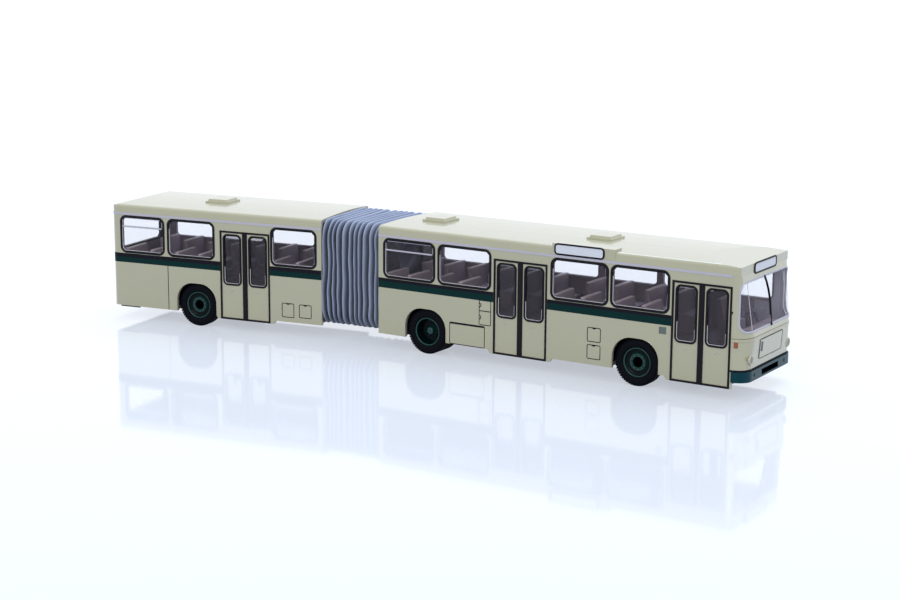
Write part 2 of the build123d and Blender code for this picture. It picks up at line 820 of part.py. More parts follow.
with BuildPart() as rear_chassis:
    add_chassis(rear, rear_tongue_bottom)
    with BuildSketch(Plane.XY.offset(rear_tongue_bottom)):
        Circle(pin_radius + pin_clearance)
    extrude(amount=tongue_thickness, mode=Mode.SUBTRACT)
keep(rear_chassis, "rear_chassis", rear)

with BuildPart() as dashboard:
    with BuildSketch(Plane.XZ.offset(-dash_half)):
        with BuildLine():
            Polyline(
                (x_at(front, dash_start), floor_top),
                (x_at(front, seam(front)), floor_top),
                (x_at(front, dash_start + dash_depth), dash_top - dash_slope - dash_edge),
                (x_at(front, dash_start + dash_depth), dash_top - dash_edge),
                (x_at(front, dash_start + dash_edge), dash_top),
                (x_at(front, dash_start), dash_top - dash_slope),
                close=True,
            )
        make_face()
    extrude(amount=2 * dash_half)
keep(dashboard, "dashboard", front)

wheel_plane = Plane(
    origin=(x_at(front, wheel_distance), wheel_y, wheel_z),
    x_dir=(0, 1, 0),
    z_dir=(-math.sin(math.radians(wheel_tilt)), 0, math.cos(math.radians(wheel_tilt))),
)
with BuildPart() as steering_wheel:
    with BuildSketch(wheel_plane):
        RegularPolygon(wheel_ring, wheel_sides)
        RegularPolygon(wheel_ring - 2 * wheel_grip, wheel_sides, mode=Mode.SUBTRACT)
        Rectangle(2 * (wheel_ring - wheel_grip), 2 * column_radius)
    extrude(amount=2 * wheel_grip)
    with BuildSketch(wheel_plane):
        Rectangle(2 * column_radius, 2 * column_radius)
    extrude(amount=-(wheel_gap + dash_edge) / math.sin(math.radians(wheel_tilt)))
    add(dashboard.part.moved(Location((-fit, 0, 0))), mode=Mode.SUBTRACT)
keep(steering_wheel, "steering_wheel", front)

# Wheel sets: each axle is one moulding of a shaft with a dished rim at either end, and carries the tyres.
Axle = namedtuple("Axle", "name section distance tyres dish")
axles = [
    Axle("front", front, front.axles[1], 1, 0.9),
    Axle("middle", front, front.axles[0], 2, 2.3),
    Axle("rear", rear, rear.axles[0], 1, 0.9),
]

for axle in axles:
    hub = Plane(origin=(x_at(axle.section, axle.distance), 0, hub_height), x_dir=(0, 1, 0), z_dir=(1, 0, 0))
    spin = Axis(hub.origin, (0, 1, 0))
    tyre_inner = tyre_outer - axle.tyres * tyre_width - (axle.tyres - 1) * twin_gap
    dish = tyre_outer - axle.dish
    with BuildPart() as wheel_set:
        with BuildSketch(hub):
            with BuildLine():
                Polyline(
                    (0, 0),
                    (0, shaft_radius),
                    (tyre_inner, shaft_radius),
                    (tyre_inner, rim_radius),
                    (tyre_outer - rim_edge, rim_radius),
                    (dish, rim_radius - rim_flange),
                    (dish, 0),
                    close=True,
                )
            make_face()
        revolve(axis=spin)
        mirror(about=Plane.XZ)
    keep(wheel_set, f"{axle.name}_axle", axle.section)
    with BuildPart() as tyres:
        for number in range(axle.tyres):
            middle = tyre_outer - tyre_width / 2 - number * (tyre_width + twin_gap)
            with BuildSketch(hub):
                with Locations((middle, (wheel_radius + rim_radius + fit) / 2)):
                    Rectangle(tyre_width, wheel_radius - rim_radius - fit)
        revolve(axis=spin)
        mirror(about=Plane.XZ)
    keep(tyres, f"{axle.name}_tyres", axle.section)

# Bellows: ridges and valleys in turn, on planes that fan out along an arc through the bend.
bend = math.radians(bend_angle)
bellows_end = bellows_half - bellows_gap
arc_radius = bellows_end / math.tan(bend / 2)


def bellows_form(steps, depths, bottom):
    """Closed form through outlines at even steps along the arc, set in by each depth in turn."""
    with BuildPart() as form:
        for step in range(steps + 1):
            turn = bend * step / steps
            depth = depths[step % len(depths)]
            plane = Plane(
                origin=(bellows_end - arc_radius * math.sin(turn), arc_radius * (math.cos(turn) - 1), 0),
                x_dir=(-math.sin(turn), math.cos(turn), 0),
                z_dir=(math.cos(turn), math.sin(turn), 0),
            )
            high = shoulder_height - depth
            with BuildSketch(plane) as outline:
                with Locations((0, (bottom + high) / 2)):
                    Rectangle(2 * (half_width - bellows_inset - depth), high - bottom)
                chamfer(outline.vertices().group_by(Axis.Y)[-1], length=bellows_corner)
        loft(ruled=True)
    return form.part


with BuildPart() as bellows:
    add(bellows_form(2 * pleats, (pleat_depth, 0), bellows_bottom))
    lining = bellows_form(lining_steps, (pleat_depth + bellows_skin,), bellows_bottom + bellows_skin)
    add(lining, mode=Mode.SUBTRACT)
keep(bellows, "bellows", front)

# The origin is on the ground, under the middle of the whole bus as it stands.
boxes = [piece.bounding_box() for piece in pieces.values()]
middle_x = (min(box.min.X for box in boxes) + max(box.max.X for box in boxes)) / 2
middle_y = (min(box.min.Y for box in boxes) + max(box.max.Y for box in boxes)) / 2
os.makedirs("parts", exist_ok=True)
for label, piece in pieces.items():
    placed = piece.moved(Location((-middle_x, -middle_y, 0)))
    placed.label = label
    export_step(placed, f"parts/{label}.step")
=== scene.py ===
import bpy
import bmesh
import json
import math
from mathutils import Matrix, Vector


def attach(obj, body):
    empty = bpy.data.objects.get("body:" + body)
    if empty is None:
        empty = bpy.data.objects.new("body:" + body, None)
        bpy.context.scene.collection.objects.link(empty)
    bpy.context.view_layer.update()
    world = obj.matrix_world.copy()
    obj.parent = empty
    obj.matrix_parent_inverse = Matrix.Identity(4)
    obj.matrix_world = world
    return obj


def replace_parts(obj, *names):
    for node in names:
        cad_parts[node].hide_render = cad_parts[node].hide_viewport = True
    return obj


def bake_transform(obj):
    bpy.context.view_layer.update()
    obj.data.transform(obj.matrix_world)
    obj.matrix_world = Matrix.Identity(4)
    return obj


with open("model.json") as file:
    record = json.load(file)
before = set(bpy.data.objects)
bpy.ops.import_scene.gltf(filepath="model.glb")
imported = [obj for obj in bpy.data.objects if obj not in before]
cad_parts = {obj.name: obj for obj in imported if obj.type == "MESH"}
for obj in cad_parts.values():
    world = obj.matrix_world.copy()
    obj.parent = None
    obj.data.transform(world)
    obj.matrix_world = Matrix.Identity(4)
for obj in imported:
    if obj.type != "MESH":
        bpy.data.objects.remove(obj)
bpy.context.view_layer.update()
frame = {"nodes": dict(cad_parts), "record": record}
mm = 0.001
nodes = frame["nodes"]
joints = {joint["name"]: joint for joint in frame["record"]["behaviour"]["joints"]}
pivot = Vector((*joints["articulation"]["pos_m"][:2], 0)) / mm
rearAxis = joints["rear_axle_spin"]["axis"]
bend = math.atan2(-rearAxis[0], rearAxis[1])  # how far the rear section stands turned
doorSide = -1

# Each section has its own straight frame in millimetres: X forwards from the pivot, Z up from the ground.
sections = {
    "front": {"turn": 0.0, "body": "front_section", "sign": 1, "end": 113.85, "corner": 4.2, "lean": 2.4,
              "tuck": 0.75, "drop": 0.8, "brow": 12.0},
    "rear": {"turn": bend, "body": "rear_section", "sign": -1, "end": 75.8, "corner": 2.0, "lean": 0.0,
             "tuck": 0.5, "drop": 0.9, "brow": 3.0},
}
shell = {"half": 14.35, "skirt": 3.8, "belt": 14.6, "gutter": 29.8, "crown": 32.75, "shoulder": 32.3,
         "open": 9.9, "skin": 0.45}


def turnOnly(section, vector):
    return Matrix.Rotation(sections[section]["turn"], 3, "Z") @ Vector(vector)


def place(section, point):  # a section's own millimetres to metres in the shared frame
    return (turnOnly(section, point) + pivot) * mm


def colour(red, green, blue):  # screen values from 0 to 255
    values = [v / 255 for v in (red, green, blue)]
    return [v / 12.92 if v <= 0.04045 else ((v + 0.055) / 1.055) ** 2.4 for v in values] + [1.0]


def toned(tone, factor):  # a darker or lighter shade of a colour
    return [min(1, c * factor) for c in tone[:3]] + [1]


class Wire:  # a socket that takes part in an expression
    def __init__(self, graph, socket):
        self.graph, self.socket = graph, socket

    def math(self, operation, other=0.0, swapped=False):
        first, second = (other, self) if swapped else (self, other)
        return self.graph.add("ShaderNodeMath", {"operation": operation}, {0: first, 1: second})

    def beside(self, label):  # another output of the same node
        return Wire(self.graph, self.socket.node.outputs[label])

    def __add__(self, other):
        return self.math("ADD", other)

    def __radd__(self, other):
        return self.math("ADD", other, True)

    def __sub__(self, other):
        return self.math("SUBTRACT", other)

    def __rsub__(self, other):
        return self.math("SUBTRACT", other, True)

    def __mul__(self, other):
        return self.math("MULTIPLY", other)

    def __rmul__(self, other):
        return self.math("MULTIPLY", other, True)

    def __truediv__(self, other):
        return self.math("DIVIDE", other)

    def __pow__(self, other):
        return self.math("POWER", other)

    def __abs__(self):
        return self.math("ABSOLUTE")

    def __gt__(self, other):
        return self.math("GREATER_THAN", other)

    def __lt__(self, other):
        return self.math("LESS_THAN", other)

    def atLeast(self, other):
        return self.math("MAXIMUM", other)

    def atMost(self, other):
        return self.math("MINIMUM", other)


class Graph:  # the nodes of one tree
    def __init__(self, tree):
        self.tree = tree
        tree.nodes.clear()

    def add(self, kind, settings=None, sockets=None, out=0):
        node = self.tree.nodes.new(kind)
        for key, value in (settings or {}).items():
            setattr(node, key, value)
        for key, value in (sockets or {}).items():
            if isinstance(value, Wire):
                self.tree.links.new(value.socket, node.inputs[key])
            else:
                node.inputs[key].default_value = value
        return Wire(self, node.outputs[out]) if node.outputs else None

    def directRays(self):  # 1 for what the camera, gloss and clear panes see
        rays = self.add("ShaderNodeLightPath", out="Is Camera Ray")
        return rays.atLeast(rays.beside("Is Glossy Ray")).atLeast(rays.beside("Is Transmission Ray"))


class Finish(Graph):  # one material
    def __init__(self, name):
        self.material = bpy.data.materials.new(name)
        self.material.use_nodes = True
        super().__init__(self.material.node_tree)
        self.object = self.add("ShaderNodeTexCoord", out="Object")

    def noise(self, scale, detail=3.0, rough=0.55):
        return self.add("ShaderNodeTexNoise", None, {
            "Vector": self.object, "Scale": scale, "Detail": detail, "Roughness": rough})

    def blend(self, amount, low, high):
        return self.add("ShaderNodeMix", {"data_type": "RGBA"}, {0: amount, 6: low, 7: high}, out=2)

    def bump(self, height, strength, distance):
        return self.add("ShaderNodeBump", None, {
            "Strength": strength, "Distance": distance, "Height": height})

    def inSection(self, section):  # X, Y and Z in the section's own millimetres
        turn = -sections[section]["turn"]
        shift = Matrix.Rotation(turn, 3, "Z") @ pivot
        own = self.add("ShaderNodeMapping", None, {
            "Vector": self.object, "Location": -shift, "Rotation": (0, 0, turn), "Scale": (1 / mm,) * 3})
        x = self.add("ShaderNodeSeparateXYZ", None, {0: own})
        return x, x.beside("Y"), x.beside("Z")

    def close(self, sockets):
        shader = self.add("ShaderNodeBsdfPrincipled", None, sockets)
        self.add("ShaderNodeOutputMaterial", None, {"Surface": shader})
        return self.material


# the cab tone is painted light: the inner walls behind the windscreen are paler, as if lit through it
creamLook = {"cream": colour(173, 172, 146), "inside": colour(142, 128, 134), "cabLight": colour(186, 184, 200),
             "cabLightFrom": 103.5, "rough": 0.22, "cloud": 90.0, "grain": 5200.0, "bump": (0.06, 0.000006),
             "coatRough": 0.1}


def creamMoulding(name, section):  # ivory plastic outside, the brown tone of the fittings inside, with painted light making the cab's inner walls paler
    finish = Finish(name)
    part = sections[section]
    x, y, z = finish.inSection(section)
    end, corner = part["end"], part["corner"]
    rise = ((z - shell["belt"]) / (shell["gutter"] - shell["belt"])).atLeast(0.0).atMost(1.0)
    fall = ((shell["belt"] - z) / (shell["belt"] - shell["skirt"])).atLeast(0.0).atMost(1.0)
    along = (x * part["sign"] - (end - corner)).atLeast(0.0)
    across = (abs(y) - (shell["half"] - corner)).atLeast(0.0)
    depth = corner - (along * along + across * across) ** 0.5
    depth = depth.atMost(end - rise * part["lean"] - fall * part["tuck"] - x * part["sign"])
    ceiling = shell["crown"] - (y * y) * ((shell["crown"] - shell["shoulder"]) / shell["half"] ** 2)
    browStart = end - part["lean"] - part["brow"]
    brow = ((x * part["sign"] - browStart) / part["brow"]).atLeast(0.0) * part["drop"]
    inside = (depth > shell["skin"]) * (ceiling - brow - z > shell["skin"])
    cloud = finish.noise(creamLook["cloud"])
    grain = finish.noise(creamLook["grain"], 2.0)
    outside = finish.blend(cloud, toned(creamLook["cream"], 0.965), toned(creamLook["cream"], 1.03))
    lining = finish.blend(x > creamLook["cabLightFrom"], creamLook["inside"], creamLook["cabLight"])  # painted light: the cab's inner walls paler, as if lit through the windscreen
    return finish.close({
        "Base Color": finish.blend(inside, outside, lining),
        "Roughness": creamLook["rough"] + grain * 0.08 + inside * 0.25,
        "Normal": finish.bump(grain, *creamLook["bump"]),
        "Coat Weight": 1.0,
        "Coat Roughness": creamLook["coatRough"],
    })


plainRows = {  # material, tone, roughness, spread of the tone, specular level
    "rubber": ("blackSeal", (20, 18, 27), 0.34, 0.12, 0.12),
    "grey": ("greySeal", (184, 185, 196), 0.4, 0.05, 0.5),
    "green": ("greenPlastic", (0, 43, 51), 0.3, 0.1, 0.3),
    "rim": ("greenRim", (1, 57, 55), 0.22, 0.1, 0.35),
    # dish: painted shade, a near-black green for the deep wheel dishes, the axles and the middle wheels' nut
    # flanges and nuts
    "dish": ("shadowGreen", (1, 14, 16), 0.3, 0.15, 0.08),
    # painted shade: black for the front and rear hub caps and for the bumper slot with its strips
    "void": ("deepShadow", (2, 2, 4), 0.8, 0.2, 0.0),
    "stripe": ("greenPrint", (2, 42, 42), 0.32, 0.07, 0.08),
    "ink": ("blackPrint", (20, 19, 30), 0.38, 0.12, 0.08),
    "chassis": ("blackPlastic", (26, 26, 28), 0.5, 0.15, 0.5),
    "tyre": ("tyreRubber", (10, 13, 20), 0.62, 0.2, 0.05),
    "silver": ("silverPrint", (184, 183, 199), 0.25, 0.04, 0.5),
    # shade: painted shadow for the thin line along the nose's belt
    "shade": ("mouldedLine", (118, 110, 88), 0.5, 0.08, 0.5),
    "grip": ("slateGrip", (88, 88, 112), 0.4, 0.1, 0.5),
    # edge: painted highlight, bright lines on the pane edges and on the windscreen bends
    "edge": ("brightEdge", (214, 214, 222), 0.15, 0.05, 0.5),
    "sign": ("signFace", (214, 220, 232), 0.22, 0.02, 0.5),
    "vent": ("greyPrint", (92, 104, 100), 0.45, 0.08, 0.5),
}
plainExtras = {"green": {"tint": (0.35, 0.8, 1.0, 1.0)}, "chassis": {"grain": 1200.0},
               "tyre": {"grain": 2600.0, "strength": 0.2}}
plainLook = {"cloud": 260.0, "depth": 0.00001}


def plainFinish(name, tone, rough, spread, gloss, grain=4200.0, strength=0.1, tint=(1, 1, 1, 1)):
    finish = Finish(name)
    cloud = finish.noise(plainLook["cloud"])  # a little uneven
    fine = finish.noise(grain, 2.0)
    return finish.close({
        "Base Color": finish.blend(cloud, toned(colour(*tone), 1 - spread), toned(colour(*tone), 1 + spread)),
        "Roughness": (rough - 0.04) + fine * 0.08,
        "Normal": finish.bump(fine, strength, plainLook["depth"]),
        "Specular IOR Level": gloss,
        "Specular Tint": tint,
    })


def sideSeal(name, section):  # black outside, the tone of the inner walls inside
    finish = Finish(name)
    y = finish.inSection(section)[1]
    grain = finish.noise(4200.0, 2.0)
    black = colour(*plainRows["rubber"][1])
    return finish.close({
        "Base Color": finish.blend(abs(y) < shell["half"] - shell["skin"], black, creamLook["inside"]),
        "Roughness": 0.3 + grain * 0.08,
        "Normal": finish.bump(grain, 0.1, plainLook["depth"]),
        "Specular IOR Level": 0.12,
    })


paneRows = {  # material, tone, opacity
    "glass": ("clearPane", (110, 108, 122), 0.07),
    "doorPane": ("shadedPane", (26, 22, 34), 0.4),
    "screen": ("clearWindscreen", (150, 146, 164), 0.08),
}


def clearPanes(name, tone, alpha):  # thin clear moulding with a faint haze
    finish = Finish(name)
    haze = finish.noise(120.0)
    return finish.close({
        "Base Color": finish.blend(haze, toned(colour(*tone), 0.94), colour(*tone)),
        "Roughness": 0.03 + haze * 0.03,
        "Alpha": (alpha - 0.015) + haze * 0.03,
    })


# the edge tone is a painted highlight for the seat tops; the dark well tone is painted shade for the wheel
# wells
fittingLook = {"brown": colour(150, 133, 146), "edge": colour(196, 180, 190), "seatHighlightFrom": 19.78,
               "wellShade": colour(14, 14, 16), "wells": {"front": (24.75, 85.1), "rear": (-48.4,)},
               "wellHalf": 7.2, "wellFrom": 6.9, "wellTop": 12.6}


def brownFittings(name, section):  # seat moulding, with painted shade, nearly black, where it forms the wheel wells and a painted highlight along the seat tops
    finish = Finish(name)
    x, y, z = finish.inSection(section)
    inward, top = fittingLook["wellFrom"], fittingLook["wellTop"]
    near = [(abs(x - centre) < fittingLook["wellHalf"]) * (abs(y) > inward) * (z < top)
            for centre in fittingLook["wells"][section]]
    inWell = sum(near[1:], near[0])
    grain = finish.noise(2200.0, 2.0)
    cloud = finish.noise(200.0)
    seat = finish.blend(cloud, toned(fittingLook["brown"], 0.86), toned(fittingLook["brown"], 1.1))
    # painted highlight along the tops of the seat backs
    seat = finish.blend(z > fittingLook["seatHighlightFrom"], seat, fittingLook["edge"])
    return finish.close({
        # painted shade in the wheel wells
        "Base Color": finish.blend(inWell.atMost(1.0), seat, fittingLook["wellShade"]),
        "Roughness": 0.42 + grain * 0.14,
        "Normal": finish.bump(grain, 0.25, 0.00003),
    })


# painted highlight on the pleat ridges and painted shade in the valleys
bellowsLook = {"ridgeHighlight": colour(152, 164, 190), "valleyShade": colour(8, 10, 24), "dust": colour(116, 122, 138)}


def pleatedPlastic(name):  # blue-grey, with painted shade in the valleys and painted highlight on the ridges
    finish = Finish(name)
    fold = finish.add("ShaderNodeAttribute", {"attribute_name": "fold"}, out="Fac")
    cloud = finish.noise(150.0)
    grain = finish.noise(1400.0, 2.0)
    tone = finish.blend(fold, bellowsLook["valleyShade"], bellowsLook["ridgeHighlight"])
    return finish.close({
        "Base Color": finish.blend(cloud * 0.16, tone, bellowsLook["dust"]),
        "Roughness": 0.46 + grain * 0.12,
        "Normal": finish.bump(grain, 0.2, 0.00003),
    })


lensRows = {"clearLens": (116, 116, 114), "amberLens": (146, 68, 12),
            "yellowLens": (166, 158, 112), "redLens": (140, 18, 14)}


def ribbedLens(name, tone):
    finish = Finish(name)
    ribs = finish.add("ShaderNodeTexWave", {"bands_direction": "Z"}, {
        "Vector": finish.object, "Scale": 900.0, "Distortion": 0.0})
    cloud = finish.noise(700.0)
    return finish.close({
        "Base Color": finish.blend(cloud, toned(colour(*tone), 0.8), colour(*tone)),
        "Roughness": 0.1 + cloud * 0.1,
        "Normal": finish.bump(ribs, 0.3, 0.00003),
        "Coat Weight": 0.2,
    })


finishes = {"bellows": pleatedPlastic("pleatedGrey")}
for section, ending in (("front", "Front"), ("rear", "Rear")):
    finishes[section + "Cream"] = creamMoulding("ivory" + ending, section)
    finishes[section + "Seal"] = sideSeal("blackSeal" + ending, section)
    finishes[section + "Fittings"] = brownFittings("brownFittings" + ending, section)
for label, row in plainRows.items():
    finishes[label] = plainFinish(*row, **plainExtras.get(label, {}))
for label, row in paneRows.items():
    finishes[label] = clearPanes(*row)
for label, tone in lensRows.items():
    finishes[label] = ribbedLens(label, tone)

nodeFinish = {
    "frontCream": "front_roof front_side_right front_side_left nose_panel front_door_leaves"
                  " front_roof_hatches",
    "rearCream": "rear_roof rear_side_right rear_side_left tail_panel rear_door_leaves rear_roof_hatches",
    "frontSeal": "front_window_seals", "rearSeal": "rear_window_seals",
    "frontFittings": "front_interior dashboard", "rearFittings": "rear_interior",
    "rubber": "front_door_seals rear_door_seals rear_window_seal", "grey": "windscreen_seal",
    "glass": "front_side_glass rear_side_glass rear_window", "doorPane": "front_door_glass rear_door_glass",
    "screen": "windscreen", "green": "bumper", "dish": "front_axle middle_axle rear_axle",
    # the steering wheel takes the grip's mid slate grey, paler than its own dark tone, as painted highlight
    "chassis": "front_chassis rear_chassis front_end_frame rear_end_frame", "grip": "steering_wheel",
    "tyre": "front_tyres middle_tyres rear_tyres", "bellows": "bellows", "clearLens": "headlamps",
    "amberLens": "indicators", "redLens": "tail_lamps", "sign": "front_sign side_sign",
}
for label, members in nodeFinish.items():
    for member in members.split():
        nodes[member].data.materials.clear()
        nodes[member].data.materials.append(finishes[label])
print("bus: finishes on", len(nodes), "moulded pieces")


def linked(name, mesh):
    piece = bpy.data.objects.new(name, mesh)
    bpy.context.collection.objects.link(piece)
    return piece


def faceOut(mesh, merge=0.0):  # faces outwards, doubles merged first
    form = bmesh.new()
    form.from_mesh(mesh)
    if merge:
        bmesh.ops.remove_doubles(form, verts=form.verts, dist=merge)
    bmesh.ops.recalc_face_normals(form, faces=form.faces)
    form.to_mesh(mesh)
    form.free()


def newPiece(name, verts, faces, finishName, smooth=False):
    mesh = bpy.data.meshes.new(name)
    mesh.from_pydata([tuple(v) for v in verts], [], faces)
    faceOut(mesh, merge=1e-7)
    mesh.materials.append(finishes[finishName])
    mesh.shade_smooth() if smooth else mesh.shade_flat()
    return linked(name, mesh)


def settle(piece, body):
    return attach(piece, body)


class NodeTree(Graph):  # a Geometry Nodes tree with named inputs
    def __init__(self, name, inputs):
        super().__init__(bpy.data.node_groups.new(name, "GeometryNodeTree"))
        face = self.tree.interface
        face.new_socket("Geometry", in_out="INPUT", socket_type="NodeSocketGeometry")
        self.names = {}
        for label, kind in {**inputs, "Material": "Material"}.items():
            self.names[label] = face.new_socket(label, in_out="INPUT",
                                                socket_type="NodeSocket" + kind).identifier
        face.new_socket("Geometry", in_out="OUTPUT", socket_type="NodeSocketGeometry")
        self.source = self.tree.nodes.new("NodeGroupInput")

    def given(self, label):
        return Wire(self, self.source.outputs[label])

    def attribute(self, kind, name):
        return self.add("GeometryNodeInputNamedAttribute", {"data_type": kind}, {"Name": name})

    def end(self, geometry):
        real = self.add("GeometryNodeRealizeInstances", None, {"Geometry": geometry})
        painted = self.add("GeometryNodeSetMaterial", None,
                           {"Geometry": real, "Material": self.given("Material")})
        self.add("NodeGroupOutput", None, {0: painted})

    def grow(self, name, verts, edges, values, attributes=None, smooth=False):  # gives a plain mesh piece
        seed = bpy.data.meshes.new(name + "Seed")
        seed.from_pydata([tuple(v) for v in verts], edges, [])
        for label, (kind, key, data) in (attributes or {}).items():
            seed.attributes.new(label, kind, "POINT").data.foreach_set(key, data)
        carrier = linked(name + "Seed", seed)
        modifier = carrier.modifiers.new("grow", "NODES")
        modifier.node_group = self.tree
        for label, value in values.items():
            modifier[self.names[label]] = value
        graph = bpy.context.evaluated_depsgraph_get()
        mesh = bpy.data.meshes.new_from_object(carrier.evaluated_get(graph), depsgraph=graph)
        carrier.modifiers.clear()
        bpy.data.objects.remove(carrier)
        faceOut(mesh)
        mesh.name = name
        mesh.materials.clear()
        mesh.materials.append(values["Material"])
        for face in mesh.polygons:
            face.material_index = 0
        mesh.shade_smooth() if smooth else mesh.shade_flat()
        return linked(name, mesh)


# A bead of rounded section along loops that lie on a surface, whose outward direction comes with the points.
beadTree = NodeTree("surfaceBead", {"Height": "Float", "Width": "Float", "Rounding": "Float", "Steps": "Int"})
beadPath = beadTree.add("GeometryNodeMeshToCurve", None, {"Mesh": beadTree.given("Geometry")})
beadPath = beadTree.add("GeometryNodeSetCurveNormal", {"mode": "FREE"}, {
    "Curve": beadPath, "Normal": beadTree.attribute("FLOAT_VECTOR", "outward")})
beadShape = beadTree.add("GeometryNodeCurvePrimitiveQuadrilateral", None, {
    "Width": beadTree.given("Height"), "Height": beadTree.given("Width")})
beadShape = beadTree.add("GeometryNodeFilletCurve", {"mode": "POLY"}, {
    "Curve": beadShape, "Count": beadTree.given("Steps"), "Radius": beadTree.given("Rounding"),
    "Limit Radius": True})
beadTree.end(beadTree.add("GeometryNodeCurveToMesh", None, {
    "Curve": beadPath, "Profile Curve": beadShape, "Fill Caps": True}))


def bead(name, section, loops, look):  # loops: (points, outward directions, closed), in metres
    verts, edges, normals = [], [], []
    for points, directions, closed in loops:
        first = len(verts)
        verts += points
        normals += [c for direction in directions for c in direction]
        edges += [(first + i, first + i + 1) for i in range(len(points) - 1)]
        if closed:
            edges.append((len(verts) - 1, first))
    piece = beadTree.grow(name, verts, edges, {
        "Height": look["height"] * mm, "Width": look["width"] * mm, "Rounding": look["round"] * mm,
        "Steps": look.get("steps", 3), "Material": finishes[look["finish"]],
    }, {"outward": ("FLOAT_VECTOR", "vector", normals)}, look.get("smooth", True))
    return settle(piece, sections[section]["body"])


def arc(cx, cz, radius, start, sweep, steps):  # points round a centre, angles in degrees
    angles = [math.radians(start + sweep * step / steps) for step in range(steps + 1)]
    return [(cx + radius * math.cos(a), cz + radius * math.sin(a)) for a in angles]


def boxCorners(x0, x1, z0, z1):
    return (x0, z0), (x1, z0), (x1, z1), (x0, z1)


def roundedLoop(x0, x1, z0, z1, radius, steps=7):  # closed outline in a plane
    left, right, low, high = x0 + radius, x1 - radius, z0 + radius, z1 - radius
    corners = ((right, high), (left, high), (left, low), (right, low))
    return [spot for i, centre in enumerate(corners) for spot in arc(*centre, radius, 90 * i, 90, steps)]


def trough(x0, x1, z0, radius, left, right, steps=6):  # open: down, along the bottom and up
    bends = [arc(cx, z0 + radius, radius, start, 90, steps)
             for cx, start in ((x0 + radius, 180), (x1 - radius, 270))]
    return [(x0, z0 + left)] + bends[0] + bends[1] + [(x1, z0 + right)]


def sideLoop(section, outline, proud, side=doorSide, closed=False):  # an outline of X and Z on a side wall
    points = [place(section, (x, side * (shell["half"] + proud), z)) for x, z in outline]
    return points, [turnOnly(section, (0, side, 0))] * len(points), closed


def sideBead(name, section, rows, look, closed=False):  # rows: side and outline
    loops = [sideLoop(section, outline, look["proud"], side, closed) for side, outline in rows]
    return bead(name, section, loops, look)


def spanX(section, span):  # a span of distances as two X values in order
    return sorted(sections[section]["sign"] * (shell["open"] + d) for d in span)


windowRows = {  # spans from the open edge, as in the side walls
    "front": {
        -1: [(1.6, 17.5), (18.4, 34.25), (51.45, 67.35), (68.0, 83.65)],
        1: [(1.6, 17.5), (18.4, 34.25), (35.1, 50.5), (51.45, 67.35), (68.0, 83.65), (84.5, 98.6)],
    },
    "rear": {
        -1: [(1.5, 15.3), (32.75, 47.65), (48.65, 62.8)],
        1: [(1.5, 15.3), (16.2, 31.9), (32.75, 47.65), (48.65, 62.8)],
    },
}
sealLook = {"bottom": 18.95, "top": 29.3, "lip": 0.14, "corner": 1.55, "width": 0.66, "height": 0.5,
            "round": 0.16, "proud": -0.08, "finish": "rubber", "slot": "seal_black"}
# painted highlight along the bottom and up the sides of each window pane
paneHighlightLook = {"inset": 0.6, "corner": 1.1, "left": 7.0, "right": 4.0, "width": 0.11, "height": 0.3,
            "round": 0.05, "proud": -0.12, "finish": "edge", "slot": "clear_glass"}
sliderLook = {"front": (1.6, 17.5), "rear": (48.65, 62.8), "bar": 26.3, "top": 28.62, "inset": 0.72,
              "width": 0.42, "height": 0.3, "round": 0.1, "proud": 0.06, "finish": "silver",
              "slot": "seal_grey"}
sliderFrame = {"width": 0.18, "height": 0.24, "round": 0.06, "proud": -0.1, "finish": "silver",
               "slot": "seal_grey"}

for section in ("front", "rear"):
    seals, highlightLines = [], []
    mid, cut = sealLook["width"] / 2 - sealLook["lip"], paneHighlightLook["inset"]
    for side, spans in windowRows[section].items():
        for x0, x1 in (spanX(section, span) for span in spans):
            seals.append((side, roundedLoop(
                x0 + mid, x1 - mid, sealLook["bottom"] + mid, sealLook["top"] - mid, sealLook["corner"])))
            highlightLines.append((side, trough(
                x0 + cut, x1 - cut, sealLook["bottom"] + cut, paneHighlightLook["corner"], paneHighlightLook["left"],
                paneHighlightLook["right"])))
    sideBead(section + "WindowBeads", section, seals, sealLook, closed=True)
    sideBead(section + "PaneEdges", section, highlightLines, paneHighlightLook)
    x0, x1 = spanX(section, sliderLook[section])
    x0, x1 = x0 + sliderLook["inset"], x1 - sliderLook["inset"]
    bar, top = sliderLook["bar"], sliderLook["top"]
    sideBead(section + "SliderBar", section, [(doorSide, [(x0, bar), (x1, bar)])], sliderLook)
    sideBead(section + "SliderFrame", section, [(doorSide, [(x0, bar), (x0, top), (x1, top), (x1, bar)])],
             sliderFrame)
print("bus: window beads")

doorSpans = {"front": [(35.06, 50.46), (84.3, 99.7)], "rear": [(15.63, 31.03)]}
doorLook = {"low": 2.87, "top": 27.35, "frame": 0.5, "strip": 1.4, "margin": 0.45, "windowLow": 12.45}
leafBead = {"corner": 1.15, "lip": 0.1, "width": 0.56, "height": 0.34, "round": 0.14, "proud": -0.06,
            "finish": "rubber", "slot": "seal_black"}
# painted highlight along the bottom and up the sides of each door pane
leafHighlightLook = {"inset": 0.5, "corner": 0.75, "left": 4.5, "right": 3.0, "width": 0.1, "height": 0.24,
            "round": 0.04, "proud": -0.1, "finish": "edge", "slot": "clear_glass"}
frameLook = {"width": 0.56, "height": 0.36, "round": 0.1, "steps": 2, "proud": 0.04,
             "finish": "rubber", "slot": "seal_black", "smooth": False}
stripLook = {"width": 1.3, "height": 0.4, "round": 0.16, "proud": 0.04, "finish": "rubber",
             "slot": "seal_black"}
handleLook = {"drop": 1.5, "reach": 0.5, "width": 0.16, "height": 0.2, "round": 0.06, "proud": -0.02,
              "finish": "silver", "slot": "clear_glass"}

